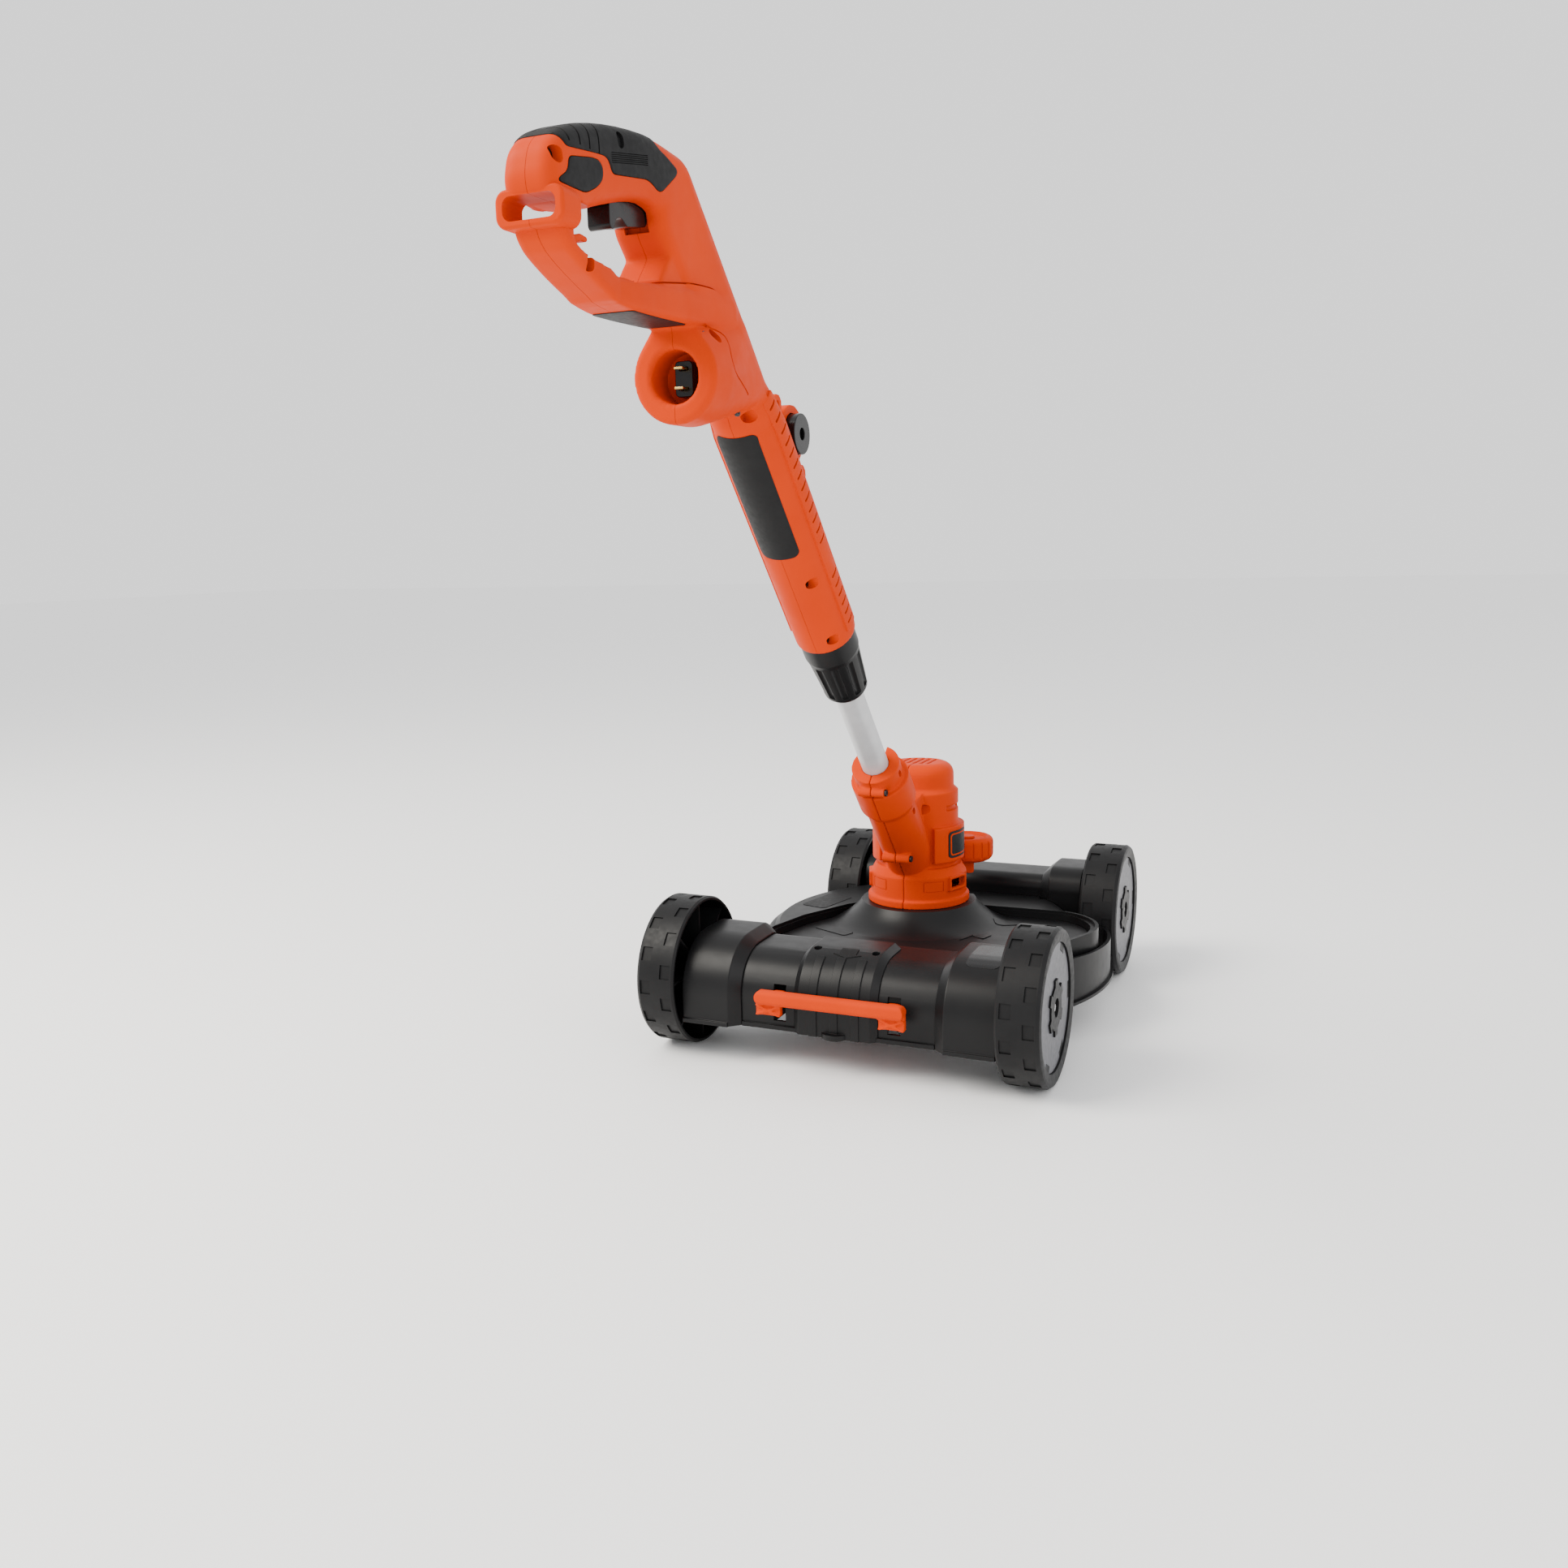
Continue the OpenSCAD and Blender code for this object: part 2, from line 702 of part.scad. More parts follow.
// Crescent pad on the left of the deck
module deck_pad() color(black) difference() {
    intersection() {
        in_head() translate([pad_c[0], pad_c[1], deck_top])
            cylinder(r1 = pad_rim_r, r2 = pad_rim_r - 5, h = pad_t);
        in_head() translate([-far - 60, -110, 0]) cube([far, 195, far]);
    }
    guard_prism(grow(guard_clear + 9), 0, far);
    front_left_space();
}

// Housing that wraps the middle of the rear beam, with finger ribs and a lower tab
module latch_housing() color(black) translate([0, rear_axle_y, 0]) difference() {
    union() {
        hull() {
            along_x(-latch_half, latch_half) polygon(beam_section(1));
            along_x(latch_chamfer - latch_half, latch_half - latch_chamfer) polygon(beam_section(latch_t));
        }
        for (x = [-latch_half / 2, 0, latch_half / 2]) along_x(x - latch_rib, x + latch_rib) intersection() {
            polygon(beam_section(latch_t + 1.2));
            translate([-far, beam_bottom]) square([far - 26, far]);
        }
        translate([0, -beam_back, beam_bottom]) cylinder(r = latch_tab, h = 5);
    }
    along_x(-far, far) polygon(beam_section(fit));
    translate([-far, -beam_back, beam_bottom - eps]) cube([2 * far, far, 2 * eps]);
    translate([-far, -beam_back - lip_out - fit, 0]) cube([2 * far, far, beam_bottom + lip_h + fit]);
    translate([-far, latch_front, 0]) cube([2 * far, far, far]);
    for (side = [-1, 1]) translate([side * latch_screw_x, latch_screw_y, 0])
        cylinder(r = deck_screw_r + seat, h = far);
}

module deck_screws() color(steel) translate([0, rear_axle_y, 0]) for (side = [-1, 1])
    translate([side * latch_screw_x, latch_screw_y, latch_screw_z - 8])
        screw(deck_screw_r - 1 - fit, 8, deck_screw_r, 2);

module pedal_pin() color(steel) translate([-pivot_wall_x - 2, rear_axle_y + pedal_pivot_y, pedal_pivot_z])
    rotate([0, 90, 0]) cylinder(r = pedal_pin_r, h = 2 * pivot_wall_x + 4);

// Side view of the pedal's arm from its hub to the bar
function pedal_arm() = [[pedal_pivot_y, pedal_pivot_z - 7], [pedal_pivot_y, pedal_pivot_z + 7],
    [-beam_back + 2, pedal_bar_z + 8], [-pedal_bar_front - 3, pedal_bar_z + pedal_bar_h - 2],
    [-pedal_bar_front - 6, pedal_bar_z + 2], [-beam_back + 4, pedal_bar_z - 8]];

// Ribbed end piece that hangs under the pedal's bar, with a crossed pair of ribs on its rear face
module pedal_end() {
    translate([pedal_end_in, 5 - pedal_bar_back, pedal_bar_z - pedal_end_h])
        cube([pedal_half - pedal_end_in, pedal_bar_back - pedal_bar_front - 6, pedal_end_h + 3]);
    for (turn = [-1, 1]) intersection() {
        translate([(pedal_half + pedal_end_in) / 2, 4.5 - pedal_bar_back, pedal_bar_z - pedal_end_h / 2])
            rotate([0, turn * 22, 0]) cube([40, 3, 2], center = true);
        translate([pedal_end_in, -far, pedal_bar_z - pedal_end_h])
            cube([pedal_half - pedal_end_in, far, pedal_end_h]);
    }
}

// Foot pedal: bar, ribbed end pieces, arms and the tube round the pin
module foot_pedal() color(orange) translate([0, rear_axle_y, 0]) difference() {
    union() {
        translate([0, -(pedal_bar_back + pedal_bar_front) / 2, pedal_bar_z + pedal_bar_h / 2])
            intersection() {
                along_x(-pedal_half, pedal_half)
                    polygon(rounded(pedal_bar_back - pedal_bar_front, pedal_bar_h, 4));
                rotate([90, 0, 0]) linear_extrude(pedal_bar_back, center = true)
                    polygon(rounded(2 * pedal_half - eps, pedal_bar_h + eps, 6));
            }
        for (side = [0, 1]) mirror([side, 0, 0]) {
            along_x(pedal_arm_in, pedal_arm_in + pedal_arm_w) polygon(pedal_arm());
            pedal_end();
        }
        translate([-pedal_hub_half, pedal_pivot_y, pedal_pivot_z]) rotate([0, 90, 0])
            cylinder(r = pedal_hub_r, h = 2 * pedal_hub_half);
    }
    translate([-far, pedal_pivot_y, pedal_pivot_z]) rotate([0, 90, 0])
        cylinder(r = pedal_pin_r + fit, h = 2 * far);
    along_x(-hook_half - fit, hook_half + fit)
        translate([pedal_pivot_y, hook_z - fit]) square([far, far]);
}

// Catch that the pedal lifts beside the guard's rear edge
module latch_hook() color(steel) translate([0, rear_axle_y, 0]) along_x(-hook_half, hook_half) polygon(
    [[pedal_pivot_y + fit, hook_z], [pedal_pivot_y + fit, hook_z + hook_t],
        [beam_front - 1, hook_z + hook_t],
    [beam_front + 1, deck_top - 8], [beam_front + 5, deck_top - 8], [beam_front + 6, hook_z]]);

module pedal_spring() color(steel) translate([0, rear_axle_y + 6, hook_z + hook_t + fit])
    coil(4.5, beam_top - deck_wall - hook_z - hook_t - 2 * fit, 6, 0.7);

// Outer form of the head: base, motor housing, badge pads, neck, collar and screw bosses
module head_form() {
    in_head() {
        translate([0, 0, base_z]) {
            cylinder(r = base_r + flange_out, h = flange_h);
            cylinder(r = base_r, h = base_h - shoulder_h);
            translate([0, 0, base_h - shoulder_h])
                cylinder(r1 = base_r, r2 = base_r - shoulder_in, h = shoulder_h);
        }
        rotate_extrude() polygon(concat(
            [[0, base_z + base_h - eps], [motor_r, base_z + base_h - eps], [motor_r, step_z],
                [upper_r, step_z + 4]],
            arc([upper_r - 12, motor_top - 12], 12, 0, 90, 6), [[0, motor_top]]));
        for (side = [0, 180]) rotate(side - pad_turn) rotate_extrude(angle = 2 * pad_turn)
            translate([motor_r - 5, pad_low]) square([pad_r - motor_r + 5, pad_high - pad_low]);
        for (side = [0, 1]) mirror([side, 0, 0]) rotate(window_turn)
            translate([base_r - 8, -window_w / 2 - window_rim, window_z - window_rim])
                cube([10, window_w + 2 * window_rim, window_h + 2 * window_rim]);
        edging_arm();
    }
    along_x(-17, 17) translate([head_y, 0])
        polygon([[-28, base_z + base_h - 8], [-76, shaft_z + 66], [-82, shaft_z + 92],
            [-34, motor_top - 26]]);
    in_shaft() {
        translate([0, 0, 30]) cylinder(r = neck_r, h = neck_s - 30);
        translate([0, 0, neck_s]) cylinder(r1 = neck_r, r2 = collar_r, h = collar_s - neck_s);
        translate([0, 0, collar_s]) cylinder(r = collar_r, h = collar_len);
        translate([0, 0, collar_s + collar_len]) cylinder(r = cap_r, h = cap_len);
        translate([-13, -cap_r - 1, collar_s + collar_len + 6]) rotate([0, 90, 0])
            cylinder(r = 4.5, h = 26);
        translate([-14, -neck_r - 1, 76]) rotate([0, 90, 0]) cylinder(r = 5, h = 28);
    }
}

// Arm on the base that carries the edging wheel
module edging_arm() translate([0, 0, edge_z - seat - edge_arm_h]) {
    rotate(atan2(edge_y, edge_x)) translate([base_r - 6, -edge_arm_w / 2, 1])
        cube([norm([edge_x, edge_y]) - base_r + 6, edge_arm_w, edge_arm_h - 2]);
    translate([edge_x, edge_y, 0]) cylinder(r = edge_boss_r, h = edge_arm_h);
}

// Space inside the head: spool well, bearings, motor and the tube's bore
module head_cavity() {
    in_head() {
        translate([0, 0, base_z - eps]) cylinder(r = base_r - 4, h = head_floor_z - base_z + eps);
        translate([0, 0, base_z]) cylinder(r = bearing_r - 3, h = motor_top - base_z - 8);
        translate([0, 0, head_floor_z + 5])
            cylinder(r = bearing_r + fit, h = can_z - head_floor_z - 5 + eps);
        translate([0, 0, can_z - seat]) cylinder(r = can_r + seat, h = can_top - can_z + 2 * seat);
        translate([0, 0, can_top]) cylinder(r = bearing_r + fit, h = bearing_h + 2 * seat);
        translate([edge_x, edge_y, 0]) cylinder(r = edge_pin_r + fit, h = far);
        for (side = [0, 1]) mirror([side, 0, 0]) rotate(window_turn)
            translate([base_r - 5, -window_w / 2, window_z]) cube([20, window_w, window_h]);
        for (i = [-2:2]) translate([i * 7 - 1.2, -14, motor_top - 3]) cube([2.4, 34, far]);
        for (side = [0, 180]) rotate(side - slot_turn) rotate_extrude(angle = 2 * slot_turn)
            translate([motor_r - slot_d, slot_z]) square([far, slot_h]);
    }
    in_shaft() {
        translate([0, 0, tube_low_s - fit]) cylinder(r = tube_r + fit, h = far);
        translate([-6, 0, collar_s + collar_len + 6]) cube([12, far, far]);
        for (p = head_screw_at) translate([-far / 2, p[0], p[1]]) rotate([0, 90, 0])
            cylinder(r = screw_r + seat, h = far);
    }
}

module head_shell(side) color(orange) half(side) difference() {
    head_form();
    head_cavity();
    in_head() rotate(-badge_turn - 0.2) rotate_extrude(angle = 2 * badge_turn + 0.4)
        translate([pad_r - badge_t, pad_low + badge_inset - fit])
            square([far, pad_high - pad_low - 2 * badge_inset + 2 * fit]);
    in_head() guard_screw_places() cylinder(r = guard_screw_r + fit, h = base_z + flange_h + fit);
}

module head_shell_left() head_shell(-1);
module head_shell_right() head_shell(1);

// Plain curved plate on the right-hand pad
module badge_plate() color(black) in_head() rotate(-badge_turn) rotate_extrude(angle = 2 * badge_turn)
    translate([pad_r - badge_t + fit, pad_low + badge_inset])
        square([badge_t, pad_high - pad_low - 2 * badge_inset]);

// Screws through the head's bosses, each at [across, along, half length of its boss]
module head_screws() color(black) in_shaft() for (p = head_screw_at)
    translate([-8, p[0], p[1]]) rotate([0, 90, 0]) screw(screw_r, 8 + p[2], 2 * screw_r, 2);

module edging_pin() color(steel) in_head() translate([edge_x, edge_y, edge_z - edge_arm_h]) {
    cylinder(r = edge_pin_r, h = edge_arm_h + edge_h);
    translate([0, 0, edge_h + edge_arm_h - 3]) cylinder(r = edge_pin_r + 4, h = 3);
}

// Edging wheel with a recessed top and a grooved rim
module edging_wheel() color(orange) in_head() translate([edge_x, edge_y, edge_z]) difference() {
    rotate_extrude() polygon(concat([[0, 0], [edge_r - 8, 0]], arc([edge_r - 8, 8], 8, -90, 0, 5),
        arc([edge_r - 6, edge_h - 6], 6, 0, 90, 5), [[edge_r - 9, edge_h - 3], [0, edge_h - 3]]));
    translate([0, 0, -eps]) cylinder(r = edge_pin_r + fit, h = far);
    translate([0, 0, edge_h - 3 - seat]) cylinder(r = edge_pin_r + 4 + seat, h = far);
    for (i = [0:17]) rotate(20 * i) translate([edge_r - 0.8, -0.8, -eps]) cube([4, 1.6, far]);
}

// Trimmer guard: hub disc, flared dome and rim within its outline
module guard() color(black) difference() {
    union() {
        intersection() {
            in_head() rotate_extrude($fn = 96) polygon(concat(
                [[bearing_r, guard_top], [guard_hub_r, guard_top]],
                arc([guard_flare_r, guard_top + 24], guard_flare_r - guard_hub_r + 0.1, 212, 262, 8),
                [[far / 4, guard_low], [far / 4, guard_low - guard_t],
                    [guard_flare_r - 8, guard_low - guard_t]],
                [[guard_hub_r - 2, guard_top - guard_hub_t], [bearing_r, guard_top - guard_hub_t]]));
            union() {
                guard_prism(1, 0, far);
                in_head() cylinder(r = guard_hub_r, h = far);
            }
        }
        difference() {
            guard_prism(1, guard_low - guard_rim_h, guard_low - eps);
            guard_prism(grow(-4), 0, far);
            in_head() cylinder(r = guard_hub_r + 2, h = far);
        }
    }
    in_head() guard_screw_places() cylinder(r = guard_screw_r + seat, h = far);
}

module guard_screw_places() for (i = [0:2]) rotate(120 * i + 90) translate([base_r - 2.4, 0, 0])
    children();

module guard_screws() color(steel) in_head() guard_screw_places() {
    translate([0, 0, guard_top - guard_hub_t]) cylinder(r = guard_screw_r, h = guard_hub_t + flange_h);
    translate([0, 0, guard_top - guard_hub_t - 2.5]) cylinder(r = 2 * guard_screw_r, h = 2.5);
}

// Blade under the guard that trims the line
module line_cutter() color(steel) in_head() rotate(-40)
    translate([112, -12, guard_low - guard_t - 2]) cube([24, 24, 2]);

module motor_can() color(steel) in_head() translate([0, 0, can_z]) difference() {
    cylinder(r = can_r, h = can_top - can_z);
    translate([0, 0, 4]) cylinder(r = rotor_r + 1, h = can_top - can_z - 8);
    translate([0, 0, -eps]) cylinder(r = shaft_r + 3, h = far);
}

module motor_bearings() color(steel) in_head() for (z = [can_z - seat - bearing_h, can_top + seat])
    translate([0, 0, z]) ring(bearing_r, shaft_r + fit, bearing_h);

// Rotor on the motor shaft, which carries the spool
module motor_shaft() color(steel) in_head() {
    translate([0, 0, base_z - 45]) cylinder(r = shaft_r, h = can_top + bearing_h - base_z + 44);
    translate([0, 0, can_z + 8]) cylinder(r = rotor_r, h = can_top - can_z - 16);
}

module spool_housing() color(black) in_head() difference() {
    union() {
        translate([0, 0, base_z - 55]) cylinder(r = spool_r, h = 40);
        translate([0, 0, base_z - 16]) cylinder(r1 = spool_r - 8, r2 = bearing_r + 4, h = 6);
    }
    translate([0, 0, base_z - 56]) cylinder(r = spool_r - 3, h = 36);
    cylinder(r = shaft_r + fit, h = far);
    for (i = [0, 180]) rotate(i) translate([spool_r, 0, base_z - 38]) rotate([0, 90, 0])
        cylinder(r = 3, h = 10, center = true);
}

module spool() color(grey) in_head() difference() {
    union() {
        for (z = [base_z - 51, base_z - 25]) translate([0, 0, z]) cylinder(r = spool_r - 4, h = 3);
        translate([0, 0, base_z - 51]) cylinder(r = spool_r - 22, h = 28);
    }
    cylinder(r = shaft_r + fit, h = far);
}

module line_winding() color("white") in_head() translate([0, 0, base_z - 48 + seat])
    ring(spool_r - 8, spool_r - 22 + seat, 23 - 2 * seat);

module spool_cap() color(black) in_head() {
    translate([0, 0, base_z - 55.5]) cylinder(r = spool_r - 3 - seat, h = 4);
    translate([0, 0, base_z - 62]) cylinder(r1 = spool_r - 20, r2 = spool_r - 14, h = 7);
}

module lower_tube() color(steel) in_shaft() translate([0, 0, tube_low_s])
    ring(tube_r, tube_r - tube_wall, handle_s + tube_in_handle - tube_low_s);

// Split sleeve that slides on the tube and centres the handle
module collet_sleeve() color(black) in_handle() translate([0, 0, sleeve_low - nut_len]) difference() {
    ring(sleeve_r, tube_r + fit, nut_len - sleeve_low + sleeve_high);
    for (i = [0:2]) rotate(120 * i) translate([0, -0.8, -eps]) cube([far, 1.6, 30]);
}

// Fluted nut that tightens the sleeve
module collet_nut() color(black) in_handle() translate([0, 0, -nut_len]) difference() {
    rotate_extrude() polygon([[tube_r + seat, 0], [nut_low_r - 2, 0], [nut_low_r, 3],
        [nut_r - 1, nut_len - 22],
        [nut_r, nut_len - 18], [nut_r, nut_len - seat], [spigot_r + fit, nut_len - seat],
        [spigot_r + fit, nut_len - spigot_len - seat], [sleeve_r + seat, nut_len - spigot_len - seat],
        [sleeve_r + seat, sleeve_low - seat], [tube_r + seat, sleeve_low - seat]]);
    for (i = [0:flutes - 1]) rotate(360 * i / flutes) translate([nut_low_r + flute_r - 1.6, 0, 6])
        rotate([0, atan2(nut_r - nut_low_r, nut_len), 0]) cylinder(r = flute_r, h = nut_len - 30);
}

// A disc across the handle with rounded edges: radius r and half width w, both shrunk by g
module puck(p, r, w, g) {
    edge = edge_share * r;
    mid = edge * (1 - cos(45)) + g * cos(45);
    translate([0, p[0], p[1]]) rotate([0, 90, 0]) {
        cylinder(r = r - g, h = 2 * (w - edge), center = true,
            $fn = g > grip_skin + eps ? inner_fn : outer_fn);
        cylinder(r = r - mid, h = 2 * (w - mid), center = true,
            $fn = g > grip_skin + eps ? inner_fn : outer_fn);
        cylinder(r = r - edge, h = 2 * (w - g), center = true,
            $fn = g > grip_skin + eps ? inner_fn : outer_fn);
    }
}

// A chain of hulls over stations [place, radius, half width], shrunk by g
module chain(stations, g) for (i = [0:len(stations) - 2]) hull() {
    puck(stations[i][0], stations[i][1], stations[i][2], g);
    puck(stations[i + 1][0], stations[i + 1][1], stations[i + 1][2], g);
}

// Level frame at the middle of the grip
module in_grip() translate([0, grip_at[0], grip_at[1]]) rotate([-shaft_lean, 0, 0]) children();

// Top of the column with the post that meets the grip, shrunk by g
module crown_form(g) {
    hull() {
        translate([0, 0, column_top + neck_down])
            cylinder(r = upper_column_r - g, h = 1, $fn = 2 * inner_fn);
        puck(post_low, post_r, post_w, g);
        puck(crown, crown_r, crown_w, g);
    }
    hull() {
        puck(post_low, post_r, post_w, g);
        puck(post_high, post_r, post_w, g);
        puck(crown, crown_r, crown_w, g);
        in_grip() puck(grip_front, grip_front_r, grip_front_w, g);
    }
}

// Grip and heel with the crown, which carry the soft skins
module grip_form(g) {
    in_grip() chain(grip_stations, g);
    crown_form(g);
}

// Inlet boss that faces the user
module inlet_form(g) hull() {
    at_inlet() translate([0, 0, g]) {
        cylinder(r = inlet_r - g, h = inlet_depth, $fn = 2 * outer_fn);
        translate([0, -inlet_up, 0]) cylinder(r = inlet_up_r - g, h = inlet_depth, $fn = 2 * outer_fn);
    }
    translate([0, 0, column_top + neck_down])
        cylinder(r = upper_column_r - g, h = inlet_root, $fn = 2 * inner_fn);
}

// Frame of the inlet, with local +Z forwards into the handle
module at_inlet() translate([0, inlet_face[0], inlet_face[1]]) rotate([-shaft_lean, 0, 0])
    rotate([-90, 0, 0]) children();

module handle_form(g) {
    grip_form(g);
    in_grip() chain(arm_stations, g);
    inlet_form(g);
    translate([0, 0, g]) cylinder(r = column_r - g, h = column_top - g, $fn = 3 * outer_fn);
    translate([0, 0, column_top - eps])
        cylinder(r1 = column_r - g, r2 = upper_column_r - g, h = neck_down + 1,
        $fn = 3 * outer_fn);
}

// Rectangular frame at the heel that the cord's loop passes through
module cord_frame(w, h, r, back, front) in_grip() translate([0, cord_at[0] + front, cord_at[1]])
    rotate([90, 0, 0])
    linear_extrude(back + front) polygon(rounded(w, h, r));

// Space between the heel and the arm in front of the cord's frame, grown by g
module finger_notch(g) in_grip() along_x(-far, far) polygon(
    [[cord_at[0] + cord_front - g, cord_at[1] - cord_slot_h / 2 - 1 - g],
        [cord_at[0] + cord_front - g, cord_at[1] + cord_slot_h / 2 + 3.5 + g],
        [-78, -27.5 + g], [-66, -24.5 + g], [-56, -18 + g], [-46 + g, -12 + g], [-46 + g, -51 - g],
        [-70, -51 - g], [-76, -48 - g]]);

// Side-view regions of the soft grip and the finger pad, with their edges drawn in by g
module grip_zone(g) in_grip() along_x(-far, far)
    polygon([[-90 + g, -6.8 + g], [-62, -3.7 + g], [-51, -2.3 + g], [-47 + g, -4.2 + g], [-43 + g, -10.7 + g],
        [-0.4, -5.4 + g], [7, -7 + g], [13.7, -8 + g], [18.8, -7.1 + g], [37 - g, 6.4 + g], [36 - g, 12],
        [40 - g, 60], [-96 + g, 60], [-94 + g, 2], [-91.5 + g, -3]]);

module pad_zone(g) in_grip() along_x(-far, far)
    polygon([[-87 + g, -10.5 - g], [-57 - g, -7 - g], [-53 - g, -9.5 - g], [-53 - g, -14.8], [-66, -23 + g],
        [-78, -26 + g], [-95 + g, -25.5 + g], [-90 + g, -18]]);

// Soft skin: the part of the grip's surface inside a zone
module skin() difference() {
    grip_form(-skin_out);
    grip_form(grip_skin);
}

module soft_grip() color(black) in_handle() difference() {
    intersection() {
        skin();
        grip_zone(seat);
    }
    handle_screw_recesses();
}

module finger_pad() color(black) in_handle() intersection() {
    skin();
    pad_zone(seat);
}

// A place in the handle's frame for one given in the grip's level frame
function from_level(p) = grip_at + [cos(shaft_lean) * p[0] + sin(shaft_lean) * p[1],
    cos(shaft_lean) * p[1] - sin(shaft_lean) * p[0]];

// Places of the screws that join the handle's halves, each with the depth of its head from the seam
handle_screw_at = [[[-20, 12.5], 9], [[-20, 76], 9], [[-34, 252], 14], [[-46, 321], 17],
    [from_level([-68, -61.5]), 10], [from_level([-97, -12]), 9], [from_level([-26, 12]), 10]];

module handle_screw_recesses() for (p = handle_screw_at) translate([p[1] - seat, p[0][0], p[0][1]])
    rotate([0, 90, 0])
    cylinder(r = screw_recess_r, h = far, $fn = outer_fn);

// Space inside the handle shells
module handle_cavity() {
    difference() {
        handle_form(shell_wall);
        translate([0, 0, -far]) cylinder(r = far, h = far + sleeve_high + 2);
        for (p = handle_screw_at) translate([-far / 2, p[0][0], p[0][1]]) rotate([0, 90, 0])
            cylinder(r = screw_boss_r, h = far, $fn = outer_fn);
        cord_frame(2 * cord_half, cord_h + 6, 6, cord_back + 10, cord_front + 10);
        finger_notch(shell_wall);
        at_inlet() translate([0, 0, -eps])
            cylinder(r = 2 * inlet_r, h = inlet_depth + inlet_floor_t, $fn = outer_fn);
        in_grip() switch_ribs();
    }
    translate([0, 0, -far / 2])
        cylinder(r = tube_r + 2 * seat, h = far / 2 + tube_in_handle + 8, $fn = 2 * outer_fn);
    translate([0, 0, -eps]) cylinder(r = sleeve_r + seat, h = sleeve_high + 2, $fn = 2 * outer_fn);
    translate([0, 0, -eps]) cylinder(r = spigot_r + seat, h = spigot_in + seat + eps, $fn = 2 * outer_fn);
}

// Ribs inside the grip that hold the switch, the trigger's pin and its spring
module switch_ribs() difference() {
    union() {
        for (side = [-1, 1]) translate([side * (switch_half + seat + 10) - 10, -8, -2])
            cube([20, 6, switch_h]);
        for (side = [-1, 1]) translate([side * (trigger_half + trigger_gap + 10), trigger_pivot[0],
            trigger_pivot[1]])
            rotate([0, 90, 0]) cylinder(r = trigger_hub_r, h = 20, center = true, $fn = outer_fn);
        translate([-20, trigger_spring_y - 7, spring_roof]) cube([40, 12, 20]);
    }
    translate([-far, trigger_pivot[0], trigger_pivot[1]]) rotate([0, 90, 0])
        cylinder(r = trigger_pin_r + seat, h = 2 * far, $fn = outer_fn);
}

// Opening under the grip and in the post for the trigger
module trigger_slot() in_grip() translate([-trigger_half - trigger_gap, -32.5, -60])
    cube([2 * (trigger_half + trigger_gap), 52, 56]);

// Slanted vent slots on both sides, with a plain gap near the lower screw
module vents() for (side = [-1, 1]) rotate(-vent_turn * side) for (i = [0:vent_count + vent_gap_low - 1])
    translate([side * column_r, 4, i < vent_gap_low ? vent_low + i * vent_pitch
        : vent_start + (i - vent_gap_low) * vent_pitch]) rotate([30, 0, 0])
            cube([10, vent_len, vent_w], center = true);

module vent_strip() for (side = [-1, 1]) rotate(-vent_turn * side) intersection() {
    translate([side * column_r, 4, vent_low + vent_strip_len / 2 - vent_len])
        cube([2 * column_r, 2 * vent_strip_half, vent_strip_len], center = true);
    cylinder(r = column_r + vent_strip_out, h = column_top, $fn = 3 * outer_fn);
}

module handle_shell(side) color(orange) half(side) in_handle() difference() {
    union() {
        difference() {
            handle_form(0);
            finger_notch(0);
        }
        vent_strip();
        cord_frame(2 * cord_half, cord_h, 8, cord_back, cord_front);
        hook_tab();
    }
    handle_cavity();
    trigger_slot();
    vents();
    cord_frame(cord_slot_w, cord_slot_h, 5, cord_back + 20, cord_front + 20);
    at_inlet() translate([0, 0, -eps])
        cylinder(r = inlet_bore_r, h = inlet_depth + eps, $fn = 3 * outer_fn);
    difference() {
        union() {
            grip_zone(0);
            pad_zone(0);
        }
        grip_form(grip_skin + seat);
    }
    for (p = handle_screw_at) translate([-screw_grip - 1, p[0][0], p[0][1]]) rotate([0, 90, 0])
        cylinder(r = screw_r + seat, h = far, $fn = inner_fn);
    handle_screw_recesses();
    translate([aux_half - button_travel - button_seat, aux_at[0], aux_at[1]]) rotate([0, 90, 0])
        cylinder(r = button_r + 2 * seat, h = far, $fn = 2 * outer_fn);
    label_sheet(0.1);
    in_grip() translate([-trigger_half - pin_past - seat, trigger_pivot[0], trigger_pivot[1]])
        rotate([0, 90, 0])
        cylinder(r = trigger_pin_r + fit, h = 2 * (trigger_half + pin_past + seat), $fn = 2 * outer_fn);
}

// Small hook inside the loop that holds the cord
module hook_tab() in_grip() hull() {
    puck([-75, -51], 3, 6, 0);
    puck([-54, -46], 2, 6, 0);
}

module handle_shell_left() handle_shell(-1);
module handle_shell_right() handle_shell(1);

// Ring at the handle's lower end that turns on the sleeve and carries the nut
module handle_spigot() color(black) in_handle() translate([0, 0, -spigot_len])
    ring(spigot_r, sleeve_r + fit, spigot_len + spigot_in);

module handle_screws() color(black) in_handle() for (p = handle_screw_at)
    translate([-screw_grip, p[0][0], p[0][1]]) rotate([0, 90, 0])
        screw(screw_r, screw_grip + p[1], screw_r * 2, 2);

// Sheet round the housing's rear face, grown by g
module label_sheet(g) translate([0, 0, label_low - g]) rotate(label_turn - g)
    rotate_extrude(angle = label_angle + 2 * g)
    translate([column_r - label_t + seat - g, 0]) square([label_t + g, label_len + 2 * g]);

// Plain panel on the housing's rear face
module label_panel() color(black) in_handle() label_sheet(0);

